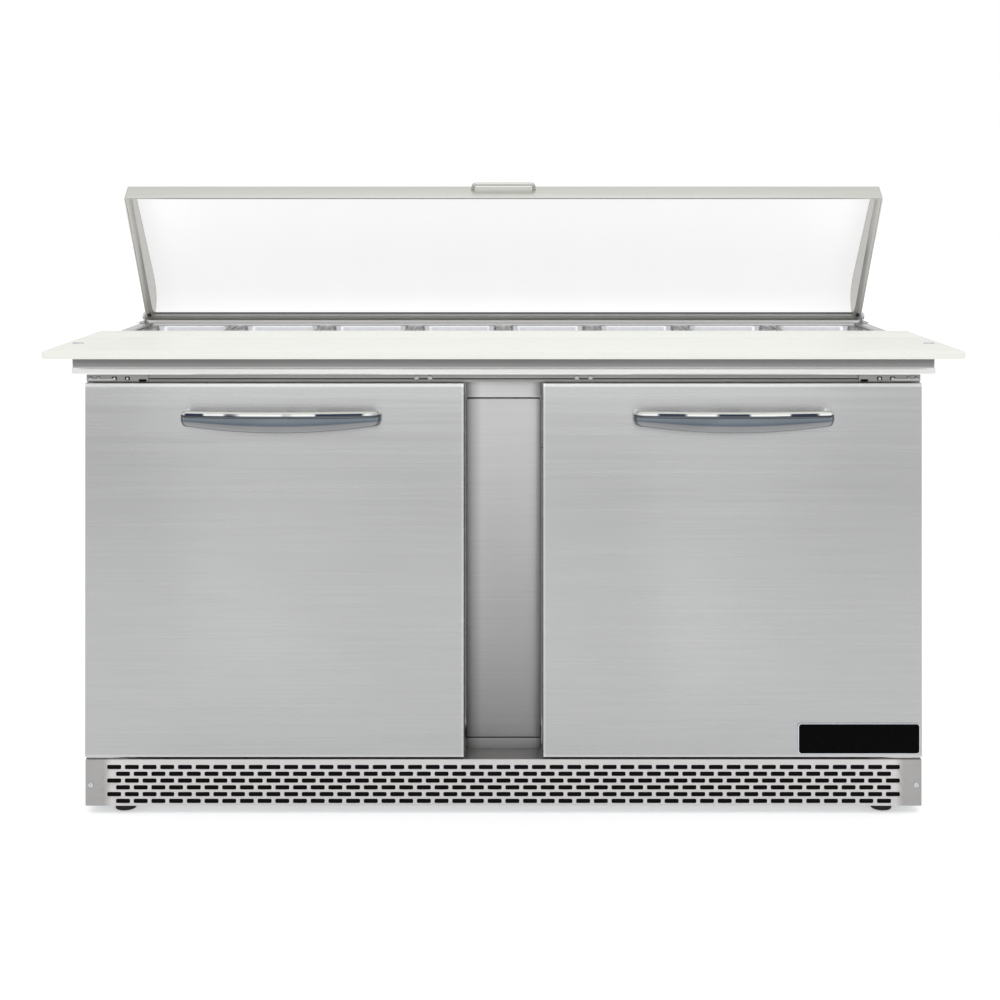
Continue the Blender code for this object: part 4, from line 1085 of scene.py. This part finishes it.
def pilasters():
    """Slotted shelf standards on the inner walls, with a clip under each shelf end."""
    wall = 0.6966
    face, clip_end = wall - 0.0035, wall - 0.016
    from_end = 0.050  # distance of a standard from the end of the shelf
    front_z, rear_z, top_z = 0.165, 0.400, 0.690  # feet of the two standards, and their tops
    half_wide, half_clip = 0.008, 0.006
    for name, side in SIDES.items():
        _, _, y0, y1, shelf_z, _ = box_edges(f"shelf_{name}")
        for i, (y, low) in enumerate(((y0 + from_end, front_z), (y1 - from_end, rear_z))):
            xs = sorted((side * wall, side * face))
            block(f"pilaster_{name}_{i + 1}", (xs[0], y - half_wide, low), (xs[1], y + half_wide, top_z),
                  0.0008, "frame_steel", "YZ", 0.001)
            xs = sorted((side * face, side * clip_end))
            block(f"shelf_clip_{name}_{i + 1}", (xs[0], y - half_clip, shelf_z - 0.0060),
                  (xs[1], y + half_clip, shelf_z - 0.0003), 0.0008, "bolt_steel", corner=0.002)


def tubing():
    """Copper lines between the compressor, condenser and evaporator, and the fan guards."""
    x0, x1, y0, y1, _, _ = box_edges("compressor")
    x, y = (x0 + x1) / 2, (y0 + y1) / 2
    coil = box_edges("condenser_coil")
    coil_x, coil_y = coil[1], coil[3] - 0.015
    shell = 0.060  # radius of the compressor where the lines leave it
    out_z, coil_z = 0.170, 0.270
    back_z, cold_z, cold_x, cold_y = 0.150, 0.300, x + 0.130, y + 0.055
    hot = bend([(x - shell, y, out_z), (x - 2 * shell, y, out_z), (x - 2 * shell, y - 0.075, coil_z),
                (coil_x + 0.030, coil_y, coil_z), (coil_x - 0.003, coil_y, coil_z)], 0.020)
    cold = bend([(x + shell, y, back_z), (cold_x, y, back_z), (cold_x, cold_y, back_z),
                 (cold_x, cold_y, cold_z)], 0.025)
    tube("discharge_tube", hot, 0.0040, "copper")
    tube("suction_tube", cold, 0.0050, "copper")
    for node, radius in (("condenser_fan_blade", 0.103), ("evaporator_fan_blade", 0.072)):
        x0, x1, y0, y1, z0, z1 = box_edges(node)
        centre = Vector(((x0 + x1) / 2, y0 - 0.008, (z0 + z1) / 2))
        for ring, share in enumerate((0.35, 0.68, 1.0)):
            loop = [centre + Vector((math.cos(a), 0, math.sin(a))) * radius * share
                    for a in (math.tau * i / 40 for i in range(40))]
            tube(f"{node}_guard_{ring + 1}", loop, 0.0014, "coated_wire", cyclic=True)


def rear_details():
    """Screws round the rear sheet and the cord gland."""
    x0, x1, _, y1, z0, z1 = box_edges("rear_panel")
    columns = 5
    from_side = 0.020
    gland = (0.620, y1, 0.120)
    for i in range(columns):
        x = x0 + from_side + (x1 - x0 - 2 * from_side) * i / (columns - 1)
        for level, z in (("low", z0 + 0.015), ("high", z1 - 0.060)):
            dome_screw(f"rear_screw_{level}_{i + 1}", (x, y1, z), 0.0045, 0.0024, direction=1)
    profile = [(0.011, -0.004), (0.011, 0.0002), (0.0155, 0.0003), (0.0158, 0.0020), (0.0130, 0.0038),
               (0.0070, 0.0042), (0.0060, 0.0010)]
    turned("cord_gland", profile, facing(gland, "Y"), "black_plastic", steps=40)


# ---------------------------------------------------------------- stage

# Glow of the floor by direction: slope across the view away from the doors' mirror point, and strength.
FLOOR_GLOW = ((-0.27, 0.30), (-0.21, 0.30), (-0.185, 0.42), (-0.13, 0.44), (-0.06, 0.36), (0.0, 0.30),
              (0.085, 0.28), (0.11, 0.47), (0.16, 0.43), (0.22, 0.37), (0.27, 0.31))
NEAR_GLOW = 0.42  # glow of the floor close to the table
NEAR_Y = (-0.85, -1.25)  # where that glow starts to give way and has given way
MIRROR_Y = 2.60  # the camera's mirror image in the door fronts
# Brightness of the surroundings by height: sine of the elevation, and radiance.
SKY = ((-0.10, 0.70), (-0.01, 0.40), (0.05, 0.32), (0.13, 0.80), (0.40, 0.92), (1.0, 1.06))
# Lamps: name, place, target, size and power.
LAMPS = (("overhead", (0.0, -1.2, 3.2), (0.0, 0.0, 0.7), (3.2, 2.2), 16.0),
         ("front", (0.0, -3.6, 1.6), (0.0, 0.0, 0.8), (3.0, 0.6), 6.0))
CAMERA_PLACE = (0.0, -3.060, 1.104)


def glowing_floor():
    """Pale floor with a faint glow that gives the doors their soft upright bands."""
    bpy.ops.mesh.primitive_plane_add(size=60.0, location=(0, 0, -0.0005))
    floor = bpy.context.object
    floor.name = "floor"
    made = Finish("floor_pale", (0.80, 0.80, 0.80), roughness=0.7)
    made.set("Specular IOR Level", 0.0)
    made.vary_colour(made.noise(0.8, detail=2.0), 0.995, 1.005)
    away = made.node("Math", {0: MIRROR_Y, 1: made.part_of(made.place, "Y")}, operation="SUBTRACT")
    slope = made.node("Math", {0: made.part_of(made.place, "X"), 1: away.outputs["Value"]},
                      operation="DIVIDE")
    glow = made.node("Mix", {"Factor": made.band("Y", *NEAR_Y), "A": (NEAR_GLOW, NEAR_GLOW, NEAR_GLOW, 1.0),
                             "B": shades(made.tree, slope.outputs["Value"], FLOOR_GLOW)}, data_type="RGBA")
    made.set("Emission Color", glow.outputs["Result"])
    made.set("Emission Strength", 1.0)
    floor.data.materials.append(made.material)


def surroundings():
    """White to the camera; to the metal, a bright ceiling over a darker horizon."""
    world = bpy.data.worlds.new("studio")
    bpy.context.scene.world = world
    world.use_nodes = True
    tree = world.node_tree
    direction = add_node(tree, "TexCoord").outputs["Generated"]
    height = add_node(tree, "SeparateXYZ", {"Vector": direction}).outputs["Z"]
    seen = add_node(tree, "LightPath").outputs["Is Camera Ray"]
    sky = add_node(tree, "Mix", {"Factor": seen, "A": shades(tree, height, SKY), "B": (1.0, 1.0, 1.0, 1.0)},
                   data_type="RGBA")
    put(tree, tree.nodes["Background"].inputs["Color"], sky.outputs["Result"])


def lamps():
    """Soft rectangular lamps, each aimed at a point."""
    for name, place, target, size, power in LAMPS:
        data = bpy.data.lights.new(name, "AREA")
        data.shape = "RECTANGLE"
        data.size, data.size_y = size
        data.energy = power
        obj = bpy.data.objects.new(name, data)
        obj.location = place
        obj.rotation_euler = (Vector(target) - Vector(place)).to_track_quat("-Z", "Y").to_euler()
        bpy.context.scene.collection.objects.link(obj)


def camera():
    """Level camera at the height of the open lid. Its lens is shifted down until it is moved."""
    data = bpy.data.cameras.new("camera")
    obj = bpy.data.objects.new("camera", data)
    bpy.context.scene.collection.objects.link(obj)
    obj.location = CAMERA_PLACE
    obj.rotation_euler = (QUARTER, 0, 0)
    data.sensor_width = 36.0
    data.lens = 57.8
    data.clip_end = 60.0
    x, y, z = CAMERA_PLACE
    for name, value in (("shift_x", -0.0035), ("shift_y", -0.312)):
        driver = data.driver_add(name).driver
        driver.type = "SCRIPTED"
        for axis, letter in enumerate("xyz"):
            variable = driver.variables.new()
            variable.name = letter
            variable.targets[0].id = obj
            variable.targets[0].data_path = f"location[{axis}]"
        driver.expression = f"{value} if abs(x - {x}) + abs(y - {y}) + abs(z - {z}) < 0.001 else 0.0"
    bpy.context.scene.camera = obj
    bpy.context.scene.view_settings.view_transform = "Standard"


worktop()
cutting_board()
pans()
lid()
lid_hinges()
for door_name in SIDES:
    door(door_name)
nameplate()
door_hinges()
header_rail()
mullion()
grille()
feet()
kept_nodes()
pilasters()
tubing()
rear_details()
glowing_floor()
surroundings()
lamps()
camera()
